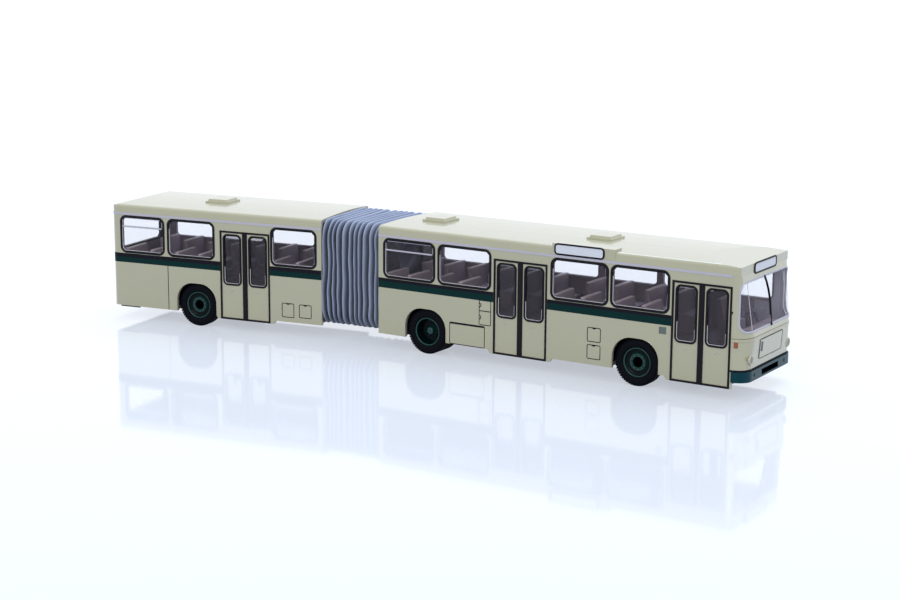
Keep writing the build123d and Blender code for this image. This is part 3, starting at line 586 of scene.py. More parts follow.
for section in ("front", "rear"):
    rings, highlightLines, frames, strips, handles = [], [], [], [], []
    half, border, margin = doorLook["frame"] / 2, doorLook["frame"], doorLook["margin"]
    low, high = doorLook["low"], doorLook["top"]
    sill, head = doorLook["windowLow"], high - border - margin
    mid, cut = leafBead["width"] / 2 - leafBead["lip"], leafHighlightLook["inset"]
    for x0, x1 in (spanX(section, span) for span in doorSpans[section]):
        middle = (x0 + x1) / 2
        frames.append((doorSide, boxCorners(x0 + half, x1 - half, low + half, high - half)))
        strips.append((doorSide, [(middle, low + border), (middle, high - border)]))
        for a, b in ((x0 + border, middle - doorLook["strip"] / 2),
                     (middle + doorLook["strip"] / 2, x1 - border)):
            a, b = a + margin, b - margin
            rings.append((doorSide, roundedLoop(a + mid, b - mid, sill + mid, head - mid,
                                                leafBead["corner"])))
            highlightLines.append((doorSide, trough(
                a + cut, b - cut, sill + cut, leafHighlightLook["corner"], leafHighlightLook["left"], leafHighlightLook["right"])))
            grip, level = (a + b) / 2 - handleLook["reach"], sill - handleLook["drop"]
            handles.append((doorSide, [(grip, level), (grip + handleLook["reach"], level)]))
    sideBead(section + "LeafBeads", section, rings, leafBead, closed=True)
    sideBead(section + "LeafPaneEdges", section, highlightLines, leafHighlightLook)
    sideBead(section + "DoorFrames", section, frames, frameLook, closed=True)
    sideBead(section + "DoorStrips", section, strips, stripLook)
    sideBead(section + "LeafGrips", section, handles, handleLook)
print("bus: doors")

# Printed bands: flat ribbons on the skin, along a plan that may go round the tail.
bandLook = {"levels": (16.15, 18.72), "change": {"front": 17.86, "rear": 17.6}, "silver": (29.54, 30.12),
            "thick": 0.03, "trimThick": 0.1, "sunk": 0.02, "tailFrom": 70, "from": 9.95}


def ribbon(name, section, plan, z0, z1, thick, finishName, slot):
    count = len(plan)
    verts = []
    for i, (x, y) in enumerate(plan):
        run = (Vector(plan[min(i + 1, count - 1)]) - Vector(plan[max(i - 1, 0)])).normalized()
        out = Vector((run.y, -run.x))
        if out.dot(Vector((x * 0.01 if abs(x) > bandLook["tailFrom"] else 0, y))) < 0:
            out = -out
        near, far = Vector((x, y)) - out * bandLook["sunk"], Vector((x, y)) + out * thick
        verts += [place(section, (p.x, p.y, z)) for p, z in ((near, z0), (far, z0), (far, z1), (near, z1))]
    faces = [[0, 1, 2, 3], [4 * count - 1, 4 * count - 2, 4 * count - 3, 4 * count - 4]]
    for a in range(0, 4 * (count - 1), 4):
        faces += [[a + k, a + 4 + k, a + 4 + (k + 1) % 4, a + (k + 1) % 4] for k in range(4)]
    return settle(newPiece(name, verts, faces, finishName), sections[section]["body"])


def sidePlan(x0, x1, side):
    return [(x0, side * shell["half"]), (x1, side * shell["half"])]


def tailPlan(x0):  # from the door side round the tail to the other side
    r, end, half = sections["rear"]["corner"], -sections["rear"]["end"], shell["half"]
    bends = arc(end + r, -(half - r), r, 270, -90, 8) + arc(end + r, half - r, r, 180, -90, 8)
    return [(x0, -half)] + bends + [(-shell["open"], half)]


start = bandLook["from"]
stripePlans = [("front", sidePlan(start, 44.9, -1)), ("front", sidePlan(60.4, 94.15, -1)),
               ("front", sidePlan(start, 109.2, 1)), ("rear", sidePlan(-25.5, -start, -1)),
               ("rear", tailPlan(-40.98))]
gutterPlans = [("front", sidePlan(start, 109.6, -1)), ("front", sidePlan(start, 109.6, 1)),
               ("rear", tailPlan(-start))]
for label, finishName, slot in (("Green", "stripe", "dark_green"), ("Black", "ink", "seal_black")):
    for number, (section, plan) in enumerate(stripePlans):
        (low, high), change = bandLook["levels"], bandLook["change"][section]
        levels = (low, change) if label == "Green" else (change, high)
        ribbon(f"stripe{label}{number}", section, plan, *levels, bandLook["thick"], finishName, slot)
for number, (section, plan) in enumerate(gutterPlans):
    ribbon(f"gutterLine{number}", section, plan, *bandLook["silver"], bandLook["trimThick"], "silver",
           "sign_white")
tailSill = {"plan": [(-73.4, -13.8), (-67.2, -13.8)], "z": (3.45, 3.85), "thick": 0.3}  # plate under the tail
ribbon("tailSill", "rear", tailSill["plan"], *tailSill["z"], tailSill["thick"], "ink", "chassis_black")
print("bus: stripes and gutter lines")

# Outlines of flaps, printed as fine lines: section, X span, Z span
flapRows = [
    ("front", (32.0, 42.4), (3.9, 9.5)), ("front", (40.8, 44.2), (9.9, 13.5)),
    ("front", (40.8, 44.2), (13.5, 16.2)),
    ("front", (71.83, 75.4), (9.63, 13.1)), ("front", (71.83, 75.4), (5.31, 8.78)),
    ("rear", (-21.88, -18.33), (5.16, 8.92)), ("rear", (-16.66, -13.08), (5.36, 8.89)),
]
fineLine = {"height": 0.06, "round": 0.02, "steps": 1, "finish": "ink", "slot": "seal_black", "smooth": False}
flapLook = {**fineLine, "width": 0.21, "corner": 0.3, "joint": [(-57.6, 3.85), (-57.6, 16.25)]}
batteryLook = {**fineLine, "width": 0.4, "top": [(32.0, 9.3), (42.4, 9.3)]}
hookLook = {**fineLine, "width": 0.24, "radius": 0.5, "lift": 0.1, "lows": (9.9, 13.5),
            "joint": [(40.8, 13.5), (44.2, 13.5)], "jointProud": 0.005}
latchLook = {**fineLine, "width": 0.3, "half": 0.55, "drop": 0.25, "widest": 5}
for section in ("front", "rear"):
    lines, latches, hooks = [], [], []
    for (x0, x1), (z0, z1) in (spans for owner, *spans in flapRows if owner == section):
        lines.append(sideLoop(section, roundedLoop(x0, x1, z0, z1, flapLook["corner"], 3), 0.0, closed=True))
        if z0 in hookLook["lows"]:
            hook = arc(x0, (z0 + z1) / 2 + hookLook["lift"], hookLook["radius"], -90, 180, 12)
            hooks.append(sideLoop(section, hook, 0.0))
        elif x1 - x0 < latchLook["widest"]:
            middle, half = (x0 + x1) / 2, latchLook["half"]
            arch = [(middle - half, z1), (middle, z1 - latchLook["drop"]), (middle + half, z1)]
            latches.append(sideLoop(section, arch, 0.0))
    if section == "rear":
        lines.append(sideLoop(section, flapLook["joint"], 0.0))
    else:
        bead("batteryFlapTop", section, [sideLoop(section, batteryLook["top"], 0.0)], batteryLook)
        hooks.append(sideLoop(section, hookLook["joint"], hookLook["jointProud"]))
        bead("stackFlapHooks", section, hooks, hookLook)
    bead(section + "FlapLines", section, lines, flapLook)
    bead(section + "FlapLatches", section, latches, latchLook)
ventLook = {"x": (91.03, 92.97), "z": (13.94, 15.66), "thick": 0.03}
ribbon("sideVent", "front", sidePlan(*ventLook["x"], doorSide), *ventLook["z"], ventLook["thick"], "vent",
       "seal_grey")
print("bus: flap lines")

# Lips round the wheel arches
archLook = {"half": 6.35, "top": 12.05, "corner": 5.2, "low": 3.85, "width": 0.22, "height": 0.3,
            "round": 0.07, "proud": -0.06, "slot": "body_cream",
            "centres": {"front": (24.55, 84.9), "rear": (-48.6,)}}
for section in ("front", "rear"):
    lips = []
    half, r, low = archLook["half"], archLook["corner"], archLook["low"]
    for centre in archLook["centres"][section]:
        bends = [arc(cx, archLook["top"] - r, r, start, -90, 10)
                 for cx, start in ((centre - half + r, 180), (centre + half - r, 90))]
        path = [(centre - half, low)] + bends[0] + bends[1] + [(centre + half, low)]
        lips += [(side, path) for side in (-1, 1)]
    sideBead(section + "ArchLips", section, lips, {**archLook, "finish": section + "Cream"})
print("bus: arch lips")

noseLook = {"low": 4.7, "thick": 0.8, "rings": 18, "melt": 1.1, "from": 0.45, "probe": 0.15, "fine": 0.35,
            "row": 0.6, "crease": 40}


def noseSpot(u, z):  # on the nose, by the distance round it from its middle
    part = sections["front"]
    flat = shell["half"] - part["corner"]
    turn = max(abs(u) - flat, 0) / part["corner"]
    y = math.copysign(min(abs(u), flat) + part["corner"] * math.sin(turn), u)
    rise = min(max((z - shell["belt"]) / (shell["gutter"] - shell["belt"]), 0), 1)
    fall = min(max((shell["belt"] - z) / (shell["belt"] - shell["skirt"]), 0), 1)
    plane = part["end"] - part["lean"] * rise - part["tuck"] * fall
    bow = part["end"] + part["corner"] * (math.cos(turn) - 1)
    melt = noseLook["melt"] * min(1, turn / noseLook["from"])  # the leaning face melts into the round corner
    overlap = max(melt - abs(plane - bow), 0) / melt if melt else 0
    return Vector((min(plane, bow) - overlap ** 2 * melt / 4, y, z))


def noseAt(u, z, proud):  # a point over the nose and the direction out of it
    d = noseLook["probe"]
    across = noseSpot(u + d, z) - noseSpot(u - d, z)
    upward = noseSpot(u, z + d) - noseSpot(u, z - d)
    out = across.cross(upward).normalized()
    return place("front", noseSpot(u, z) + out * proud), out


def noseBead(name, outlines, look, closed=False):  # outlines laid on the nose
    loops = []
    for outline in outlines:
        dense = []
        for i in range(len(outline) if closed else len(outline) - 1):
            (u0, z0), (u1, z1) = outline[i], outline[(i + 1) % len(outline)]
            steps = max(1, math.ceil(math.hypot(u1 - u0, z1 - z0) / noseLook["fine"]))
            dense += [(u0 + (u1 - u0) * s / steps, z0 + (z1 - z0) * s / steps) for s in range(steps)]
        if not closed:
            dense.append(outline[-1])
        loops.append((*zip(*(noseAt(u, z, look["proud"]) for u, z in dense)), closed))
    return bead(name, "front", loops, look)


def noseBand(name, outer, inner, proud, thick, finishName, rings=1):  # a frame between two outlines
    rows = []
    for i in range(len(outer)):
        j = (i + 1) % len(outer)
        steps = max(1, math.ceil(math.dist(outer[i], outer[j]) / noseLook["row"]))
        for s in range(steps):
            (u0, z0), (u1, z1) = ([path[i][k] + (path[j][k] - path[i][k]) * s / steps for k in (0, 1)]
                                  for path in (outer, inner))
            line = [(u0 + (u1 - u0) * r / rings, z0 + (z1 - z0) * r / rings) for r in range(rings + 1)]
            rows.append([noseAt(*spot, level)[0] for level in (proud, proud - thick) for spot in line])
    back, count = rings + 1, 2 * (rings + 1)
    around = [(r, r + 1) for r in range(rings)] + [(rings, back + rings)]
    around += [(back + r + 1, back + r) for r in reversed(range(rings))] + [(back, 0)]
    faces = []
    for i in range(len(rows)):
        a, b = count * i, count * ((i + 1) % len(rows))
        faces += [[a + p, b + p, b + q, a + q] for p, q in around]
    piece = newPiece(name, [spot for row in rows for spot in row], faces, finishName, smooth=rings > 1)
    if rings > 1:
        piece.data.set_sharp_from_angle(angle=math.radians(noseLook["crease"]))
    return settle(piece, "front_section")


def levelLine(reach, z, half=30):  # round the nose at one height
    return [(reach * k / half, z) for k in range(-half, half + 1)]


def uprights(u, low, high):  # a pair of upright lines, left and right
    return [[(side * u, low), (side * u, high)] for side in (-1, 1)]


screenLook = {"reach": 15.05, "low": 16.45, "top": 28.15, "corner": 2.4, "width": 0.54, "height": 0.46,
              "round": 0.2, "proud": -0.12, "finish": "grey", "slot": "seal_grey"}
paneLook = {"reach": 13.4, "low": 17.2, "top": 27.6, "corner": 1.6, "proud": -0.19, "thick": 0.03}
reach = shell["half"] + sections["front"]["corner"] * (math.pi / 2 - 1)  # round the nose to a side's start
ringLoop, paneLoop = (roundedLoop(-look["reach"], look["reach"], look["low"], look["top"], look["corner"])
                      for look in (screenLook, paneLook))
edgeLoop = roundedLoop(-reach, reach, noseLook["low"], shell["gutter"], 0.02)
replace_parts(noseBead("windscreenBead", [ringLoop], screenLook, closed=True), "windscreen_seal")
nosePanel = noseBand("nosePanelRounded", edgeLoop, ringLoop, 0.0, noseLook["thick"], "frontCream",
                     noseLook["rings"])
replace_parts(nosePanel, "nose_panel")
noseBand("windscreenBorder", ringLoop, paneLoop, paneLook["proud"], paneLook["thick"], "screen")
mouldingLook = {"z": 14.43, "width": 0.36, "height": 0.2, "round": 0.08, "proud": 0.02,
                "finish": "frontCream", "slot": "body_cream"}
noseBead("beltMoulding", [levelLine(reach, mouldingLook["z"])], mouldingLook)
# painted shadow: a thin dark line along the belt of the nose
beltShadowLook = {"z": 15.05, "reach": 16.7, "width": 0.13, "height": 0.1, "round": 0.03, "steps": 1, "proud": 0.02,
            "finish": "shade", "slot": "body_cream", "smooth": False}
noseBead("noseBeltShadow", [levelLine(beltShadowLook["reach"], beltShadowLook["z"])], beltShadowLook)
# painted highlight: bright upright lines where the windscreen bends round the corners
bendHighlightLook = {"reach": 10.7, "low": 16.9, "top": 27.7, "width": 0.13, "height": 0.14, "round": 0.06,
            "proud": -0.18, "finish": "edge", "slot": "clear_glass"}
noseBead("windscreenBendHighlights", uprights(bendHighlightLook["reach"], bendHighlightLook["low"], bendHighlightLook["top"]), bendHighlightLook)

# Wiper: a bent arm from the middle of the dash edge up to the roof, with a blade on it
wiperLook = {"arm": [(-0.15, 16.6), (0.2, 18.5), (0.55, 20.5), (0.7, 22.5), (0.45, 24.6), (-0.15, 26.6),
                     (-1.1, 28.3)],
             "width": 0.3, "height": 0.24, "round": 0.11, "proud": 0.22, "finish": "rubber",
             "slot": "seal_black"}
bladeLook = {**wiperLook, "width": 0.16, "height": 0.4, "round": 0.05, "proud": 0.02}
bossLook = {**wiperLook, "foot": [(-0.15, 16.2), (-0.15, 16.8)], "width": 0.7, "height": 0.5, "round": 0.24,
            "proud": 0.16}
noseBead("wiperArm", [wiperLook["arm"]], wiperLook)
noseBead("wiperBlade", [wiperLook["arm"][1:]], bladeLook)
noseBead("wiperBoss", [bossLook["foot"]], bossLook)

# Service flap on the nose, sign frames and the small fittings round the lamps
noseFlap = {"half": 6.7, "low": 9.25, "top": 13.9, "corner": 0.35, "width": 0.16, "height": 0.1,
            "round": 0.03, "steps": 1, "proud": 0.1, "finish": "ink", "slot": "seal_black", "smooth": False}
flapSpan = (-noseFlap["half"], noseFlap["half"], noseFlap["low"], noseFlap["top"])
noseBead("noseFlapLine", [roundedLoop(*flapSpan, noseFlap["corner"], 3)], noseFlap, closed=True)
boxFaces = [[3, 2, 1, 0], [4, 5, 6, 7]] + [[k, (k + 1) % 4, (k + 1) % 4 + 4, k + 4] for k in range(4)]

plate = [noseAt(u, z, level)[0] for level in (-noseFlap["proud"], noseFlap["proud"])
         for u, z in boxCorners(*flapSpan)]
settle(newPiece("noseFlapPlate", plate, boxFaces, "frontCream"), "front_section")
flapGrip = {"line": [(-5.5, 10.95), (-5.5, 13.2)], "width": 0.85, "height": 0.16, "round": 0.07,
            "proud": 0.14, "finish": "grip", "slot": "chassis_black"}
noseBead("noseFlapGrip", [flapGrip["line"]], flapGrip)
signFrame = {"front": (-6.4, 6.4, 29.5, 31.9), "side": (62.45, 75.85, 30.36, 32.88), "corner": 0.8,
             "frontProud": 0.12, "width": 0.44, "height": 0.3, "round": 0.1, "proud": 0.1,
             "finish": "rubber", "slot": "seal_black"}
signFace = sections["front"]["end"] - sections["front"]["lean"] + signFrame["frontProud"]
signOutline = roundedLoop(*signFrame["front"], signFrame["corner"])
frontRing = [place("front", (signFace, y, z)) for y, z in signOutline]
bead("frontSignFrame", "front", [(frontRing, [Vector((1, 0, 0))] * len(frontRing), True)], signFrame)
sideRing = roundedLoop(*signFrame["side"], signFrame["corner"])
sideBead("sideSignFrame", "front", [(doorSide, sideRing)], signFrame, closed=True)


def lathe(profile, segments, origin, axis):  # closed profile of (along the axis, radius)
    axis = Vector(axis).normalized()
    right = axis.cross(Vector((0, 0, 1)) if abs(axis.z) < 0.9 else Vector((1, 0, 0))).normalized()
    up = right.cross(axis)
    verts, faces = [], []
    for s in range(segments):
        angle = 2 * math.pi * s / segments
        out = right * math.cos(angle) + up * math.sin(angle)
        verts += [Vector(origin) + axis * (a * mm) + out * (r * mm) for a, r in profile]
    count = len(profile)
    for s in range(segments):
        here, after = s * count, (s + 1) % segments * count
        for i in range(count):
            j = (i + 1) % count
            if max(profile[i][1], profile[j][1]) > 1e-6:
                faces.append([here + i, after + i, after + j, here + j])
    return verts, faces


def joinParts(parts):
    verts, faces = [], []
    for someVerts, someFaces in parts:
        faces += [[i + len(verts) for i in face] for face in someFaces]
        verts += someVerts
    return verts, faces


headLook = {"y": 11.24, "z": 9.8, "radius": 0.78, "bezel": 1.2, "dome": 0.05, "face": 113.62, "root": -0.6,
            "segments": 40}
bezels, domes = [], []
r, b, root = headLook["radius"], headLook["bezel"], headLook["root"]
bezel = [(root, r), (0.0, r), (0.1, r + 0.1), (0.06, b - 0.1), (-0.08, b), (root, b)]
dome = [(root, 0.0)] + [(0.01 + headLook["dome"] * (1 - (k / 8) ** 2), r * k / 8)
                        for k in range(9)] + [(root, r)]
for side in (-1, 1):
    origin = place("front", (headLook["face"], side * headLook["y"], headLook["z"]))
    for profile, made in ((bezel, bezels), (dome, domes)):
        made.append(lathe(profile, headLook["segments"], origin, (1, 0, 0)))
settle(newPiece("headlampRims", *joinParts(bezels), "frontCream", smooth=True), "front_section")
lenses = settle(newPiece("headlampLenses", *joinParts(domes), "clearLens", smooth=True), "front_section")
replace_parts(lenses, "headlamps")
cornerLamp = {"y": 12.7, "z": 10.35, "half": 0.35, "width": 0.7, "height": 0.2, "round": 0.09, "proud": 0.05,
              "finish": "yellowLens", "slot": "lamp_amber"}
low, high = (cornerLamp["z"] + end * cornerLamp["half"] for end in (-1, 1))
noseBead("cornerLamps", uprights(cornerLamp["y"], low, high), cornerLamp)
pinLook = {"x": 109.7, "z": 21.25, "profile": [(0, 0), (0.5, 0), (0.5, 0.24 * 0.7), (0.4, 0.24), (0, 0.24)],
           "segments": 20}
pinFoot = place("front", (pinLook["x"], -shell["half"], pinLook["z"]))
pin = lathe(pinLook["profile"], pinLook["segments"], pinFoot, (0, doorSide, 0))
settle(newPiece("mirrorStub", *pin, "rubber", smooth=True), "front_section")

# Bumper: a painted shadow line above it, a slot with painted shade, and two bolt heads
bumperLook = {"back": 0.1, "slot": (-5.05, 5.05, 5.15, 6.25), "slotDepth": 0.27, "floor": 0.03, "sill": 0.1,
              "brow": 0.18, "sunk": 0.05, "proud": 0.02, "dots": 9.0, "dotZ": 5.8, "dotSegments": 20,
              "dotProfile": [(0, 0), (0.14, 0), (0.14, 0.38), (0, 0.5)]}
front = sections["front"]["end"] - bumperLook["back"]
slotFace = front - bumperLook["slotDepth"]
y0, y1, z0, z1 = bumperLook["slot"]
slotRows = [(slotFace - bumperLook["floor"], slotFace, z0, z1)]  # painted-shade floor, then painted-shadow strips below and above
slotRows += [(front - bumperLook["sunk"], front + bumperLook["proud"], low, high)
             for low, high in ((z0 - bumperLook["sill"], z0), (z1, z1 + bumperLook["brow"]))]
slotParts = [([place("front", (x, y, z)) for x in (back, face) for y, z in boxCorners(y0, y1, low, high)],
              boxFaces)
             for back, face, low, high in slotRows]
settle(newPiece("bumperSlot", *joinParts(slotParts), "void"), "front_section")
dotSpots = [place("front", (front, side * bumperLook["dots"], bumperLook["dotZ"])) for side in (-1, 1)]
dots = [lathe(bumperLook["dotProfile"], bumperLook["dotSegments"], spot, (1, 0, 0)) for spot in dotSpots]
settle(newPiece("bumperBolts", *joinParts(dots), "green"), "front_section")
# painted shadow in the gap above the bumper, in the black print material
seamShadowLook = {"z": 7.3, "width": 0.5, "height": 0.12, "round": 0.04, "steps": 1, "proud": 0.0, "finish": "ink",
            "slot": "seal_black", "smooth": False}
noseBead("bumperGapShadow", [levelLine(reach, seamShadowLook["z"])], seamShadowLook)
print("bus: nose")

# Tread blocks: one block set round the tyre on a circle of points
ringTree = NodeTree("blockRing", {"Count": "Int", "Radius": "Float", "Size": "Vector", "Turn": "Float"})
circle = ringTree.add("GeometryNodeMeshCircle", None, {
    "Vertices": ringTree.given("Count"), "Radius": ringTree.given("Radius")})
direction = ringTree.add("GeometryNodeInputPosition")
aligned = ringTree.add("FunctionNodeAlignRotationToVector", {"axis": "X"}, {"Vector": direction})
block = ringTree.add("GeometryNodeMeshCube", None, {"Size": ringTree.given("Size")})
blocks = ringTree.add("GeometryNodeInstanceOnPoints", None,
                      {"Points": circle, "Instance": block, "Rotation": aligned})
spun = ringTree.add("ShaderNodeCombineXYZ", None, {"Z": ringTree.given("Turn")})
ringTree.end(ringTree.add("GeometryNodeTransform", None, {"Geometry": blocks, "Rotation": spun}))

nutTree = NodeTree("nutRing", {"Count": "Int", "Radius": "Float", "Nut Radius": "Float", "Height": "Float"})
circle = nutTree.add("GeometryNodeMeshCircle", None, {
    "Vertices": nutTree.given("Count"), "Radius": nutTree.given("Radius")})
nut = nutTree.add("GeometryNodeMeshCylinder", None, {
    "Vertices": 6, "Radius": nutTree.given("Nut Radius"), "Depth": nutTree.given("Height")})
nutTree.end(nutTree.add("GeometryNodeInstanceOnPoints", None, {"Points": circle, "Instance": nut}))

wheelSets = {  # tyres are counted for one side
    "front": {"section": "front", "x": 85.1, "tyres": 1, "dish": 12.95, "hubFace": 13.3,
              "hubFinish": "void", "flange": "rim"},
    "middle": {"section": "front", "x": 24.75, "tyres": 2, "dish": 11.55, "hubFace": 12.6,
               "hubFinish": "rim", "flange": "dish"},
    "rear": {"section": "rear", "x": -48.4, "tyres": 1, "dish": 12.95, "hubFace": 13.3,
             "hubFinish": "void", "flange": "rim"},
}
tyreLook = {"radius": 5.85, "width": 3.1, "outer": 13.85, "gap": 0.35, "blocks": 52, "depth": 0.12,
            "blockLength": 0.5, "blockRoot": 0.1, "blockSink": 0.06, "segments": 72}
tyreProfile = [(-1.2, 3.72), (-1.5, 4.0), (-1.55, 4.7), (-1.5, 5.2), (-1.3, 5.62), (-1.0, 5.73), (0, 5.75),
               (1.0, 5.73), (1.3, 5.62), (1.5, 5.2), (1.55, 4.7), (1.5, 4.0), (1.2, 3.72)]
blockRows = [  # across, width, turn in blocks
    (-1.08, 0.62, 0.0), (-0.38, 0.5, 0.5), (0.38, 0.5, 0.0), (1.08, 0.62, 0.5),
]
rimLook = {"inset": 0.3, "nuts": 10, "nutCircle": 1.75, "nutRadius": 0.2, "nutHeight": 0.34, "nutOut": 0.4,
           "hub": 1.15}


def upright(piece, section, x, y, side):  # a part made flat round Z is set upright in a wheel
    piece.data.transform(Matrix.Rotation(math.radians(-90 * side), 4, "X"))
    for vertex in piece.data.vertices:
        vertex.co = place(section, vertex.co / mm + Vector((x, y, tyreLook["radius"])))
    return piece


def mergeInto(name, made):  # several pieces become one plain mesh
    mesh = bpy.data.meshes.new(name)
    whole = bmesh.new()
    slots = []
    for piece in made:
        start = len(whole.faces)
        whole.from_mesh(piece.data)
        whole.faces.ensure_lookup_table()
        material = piece.data.materials[0]
        if material not in slots:
            slots.append(material)
        for face in whole.faces[start:]:
            face.material_index = slots.index(material)
    whole.to_mesh(mesh)
    whole.free()
    for material in slots:
        mesh.materials.append(material)
    for piece in made:
        bpy.data.objects.remove(piece)
    return linked(name, mesh)


for label, wheel in wheelSets.items():
    section, x, dish = wheel["section"], wheel["x"], wheel["dish"]
    hubFace, hub = wheel["hubFace"], rimLook["hub"]
    axis = turnOnly(section, (0, 1, 0))
    rim = tyreLook["outer"] - rimLook["inset"]
    rimRows = [  # name, profile, segments, finish
        ("rimLip", [(rim - 0.25, 3.3), (rim + 0.02, 3.36), (rim + 0.12, 3.5), (rim + 0.12, 3.66),
                    (rim - 0.1, 3.7), (rim - 0.25, 3.6)], 64, "rim"),
        ("rimDish", [(dish - 0.05, 0.0), (dish + 0.02, 0.0), (dish + 0.02, 2.78), (rim - 0.3, 3.5),
                     (rim - 0.34, 3.5), (dish - 0.05, 2.8)], 56, "dish"),
        ("nutFlange", [(dish, 1.3), (dish + 0.28, 1.4), (dish + 0.28, 2.1), (dish, 2.25)], 48,
         wheel["flange"]),
        ("hubCap", [(dish, 0.0), (hubFace, 0.0), (hubFace, hub * 0.55), (hubFace - 0.12, hub * 0.8),
                    (dish + 0.3, hub), (dish, hub + 0.1)], 40, wheel["hubFinish"]),
    ]
    rubber, trim = [], []
    for side in (-1, 1):
        for number in range(wheel["tyres"]):
            pitch = tyreLook["width"] + tyreLook["gap"]
            y = side * (tyreLook["outer"] - tyreLook["width"] / 2 - number * pitch)
            centre = place(section, (x, y, tyreLook["radius"]))
            tyre = lathe(tyreProfile, tyreLook["segments"], centre, axis)
            rubber.append(newPiece("tyreBody", *tyre, "tyre", smooth=True))
            for across, width, step in blockRows:
                row = ringTree.grow("treadRow", [(0, 0, 0)], [], {
                    "Count": tyreLook["blocks"],
                    "Radius": (tyreLook["radius"] - tyreLook["depth"] / 2 - tyreLook["blockSink"]) * mm,
                    "Size": Vector((tyreLook["depth"] + tyreLook["blockRoot"], tyreLook["blockLength"],
                                    width)) * mm,
                    "Turn": step * 2 * math.pi / tyreLook["blocks"], "Material": finishes["tyre"]})
                rubber.append(upright(row, section, x, y + across, side))
        middle = place(section, (x, 0, tyreLook["radius"]))
        for part, profile, segments, finishName in rimRows:
            form = lathe(profile, segments, middle, axis * side)
            trim.append(newPiece(part, *form, finishName, smooth=part == "rimLip"))
        nuts = nutTree.grow("wheelNuts", [(0, 0, 0)], [], {
            "Count": rimLook["nuts"], "Radius": rimLook["nutCircle"] * mm,
            "Nut Radius": rimLook["nutRadius"] * mm, "Height": rimLook["nutHeight"] * mm,
            "Material": finishes[wheel["flange"]]})
        trim.append(upright(nuts, section, x, side * (dish + rimLook["nutOut"]), side))
    tyres = settle(mergeInto(label + "TreadTyres", rubber), label + "_axle_set")
    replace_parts(tyres, label + "_tyres")
    settle(mergeInto(label + "RimTrim", trim), label + "_axle_set")
print("bus: wheels")

# Bellows: an outline swept along the bend, its size waving once for every pleat
bellowsSize = {"end": 9.8, "half": 14.15, "low": 3.9, "top": 32.3, "corner": 4.0, "pleats": 11, "depth": 1.15,
               "steps": 14, "sharp": 1.15, "wobble": 1.44, "uneven": 0.013, "lining": 0.3, "outlineStep": 1.4}
driftLook = {"stretch": (1.0, 0.5, 0.62), "scale": 170.0, "detail": 1.5, "reach": (1.0, 0.35, 0.2)}
pleatInputs = ("Pleats", "Depth", "Sharpness", "Wobble", "Unevenness", "Lining")
pleatTree = NodeTree("pleatedTube", {label: "Float" for label in pleatInputs})
picked = pleatTree.add("GeometryNodeSeparateGeometry", None, {
    "Geometry": pleatTree.given("Geometry"), "Selection": pleatTree.attribute("FLOAT", "isPath")},
    out="Selection")
pathLine = pleatTree.add("GeometryNodeMeshToCurve", None, {"Mesh": picked})
pathLine = pleatTree.add("GeometryNodeSetCurveNormal", {"mode": "Z_UP"}, {"Curve": pathLine})
outlineLine = pleatTree.add("GeometryNodeMeshToCurve", None, {"Mesh": picked.beside("Inverted")})
share = pleatTree.add("GeometryNodeSplineParameter")
beat = (share * (5 * math.pi)).math("SINE")  # some pleats wider, none at the ends
phase = (share + beat * pleatTree.given("Unevenness")) * pleatTree.given("Pleats") * (2 * math.pi)
wave = ((1.0 + phase.math("COSINE")) * 0.5) ** pleatTree.given("Sharpness")  # ridges round, valleys narrow
size = 1.0 - (1.0 - wave) * pleatTree.given("Depth")
layers = []
# the lining gets fold 0, so it takes the valleys' painted shade as a dark inner sheet
for scale, fold in ((pleatTree.given("Lining"), 0.0), (size, wave)):
    kept = pleatTree.add("GeometryNodeStoreNamedAttribute", {"data_type": "FLOAT", "domain": "POINT"}, {
        "Geometry": pathLine, "Name": "fold", "Value": fold})
    layers.append(pleatTree.add("GeometryNodeCurveToMesh", None, {
        "Curve": kept, "Profile Curve": outlineLine, "Scale": scale}))
both = pleatTree.add("GeometryNodeJoinGeometry", None, {0: layers[0]})
pleatTree.tree.links.new(layers[1].socket, both.socket.node.inputs[0])


def vectorMath(operation, sockets):
    return pleatTree.add("ShaderNodeVectorMath", {"operation": operation}, sockets)


where = vectorMath("MULTIPLY", {0: pleatTree.add("GeometryNodeInputPosition"), 1: driftLook["stretch"]})
drift = pleatTree.add("ShaderNodeTexNoise", {"noise_dimensions": "3D"}, {
    "Vector": where, "Scale": driftLook["scale"], "Detail": driftLook["detail"]}, out="Color")
drift = vectorMath("SUBTRACT", {0: drift, 1: (0.5, 0.5, 0.5)})
drift = vectorMath("SCALE", {0: drift, "Scale": pleatTree.given("Wobble")})
drift = vectorMath("MULTIPLY", {0: drift, 1: driftLook["reach"]})
pleatTree.end(pleatTree.add("GeometryNodeSetPosition", None, {"Geometry": both, "Offset": drift}))

end, half = bellowsSize["end"], bellowsSize["half"]
radius = end / math.tan(bend / 2)
middleZ = (bellowsSize["low"] + bellowsSize["top"]) / 2
halfHigh = (bellowsSize["top"] - bellowsSize["low"]) / 2
steps = bellowsSize["pleats"] * bellowsSize["steps"]
turns = [bend * step / steps for step in range(steps + 1)]
path = [place("front", (end - radius * math.sin(turn), radius * (math.cos(turn) - 1), middleZ))
        for turn in turns]
corners = roundedLoop(-half, half, -halfHigh, halfHigh, bellowsSize["corner"], 8)
outline = []
for (y, z), (y1, z1) in zip(corners, corners[1:] + corners[:1]):
    parts = max(1, round(math.hypot(y1 - y, z1 - z) / bellowsSize["outlineStep"]))
    outline += [Vector((y + (y1 - y) * p / parts, z + (z1 - z) * p / parts, 0)) * mm for p in range(parts)]
first, count = len(path), len(outline)
edges = [(i, i + 1) for i in range(steps)] + [(first + i, first + (i + 1) % count) for i in range(count)]
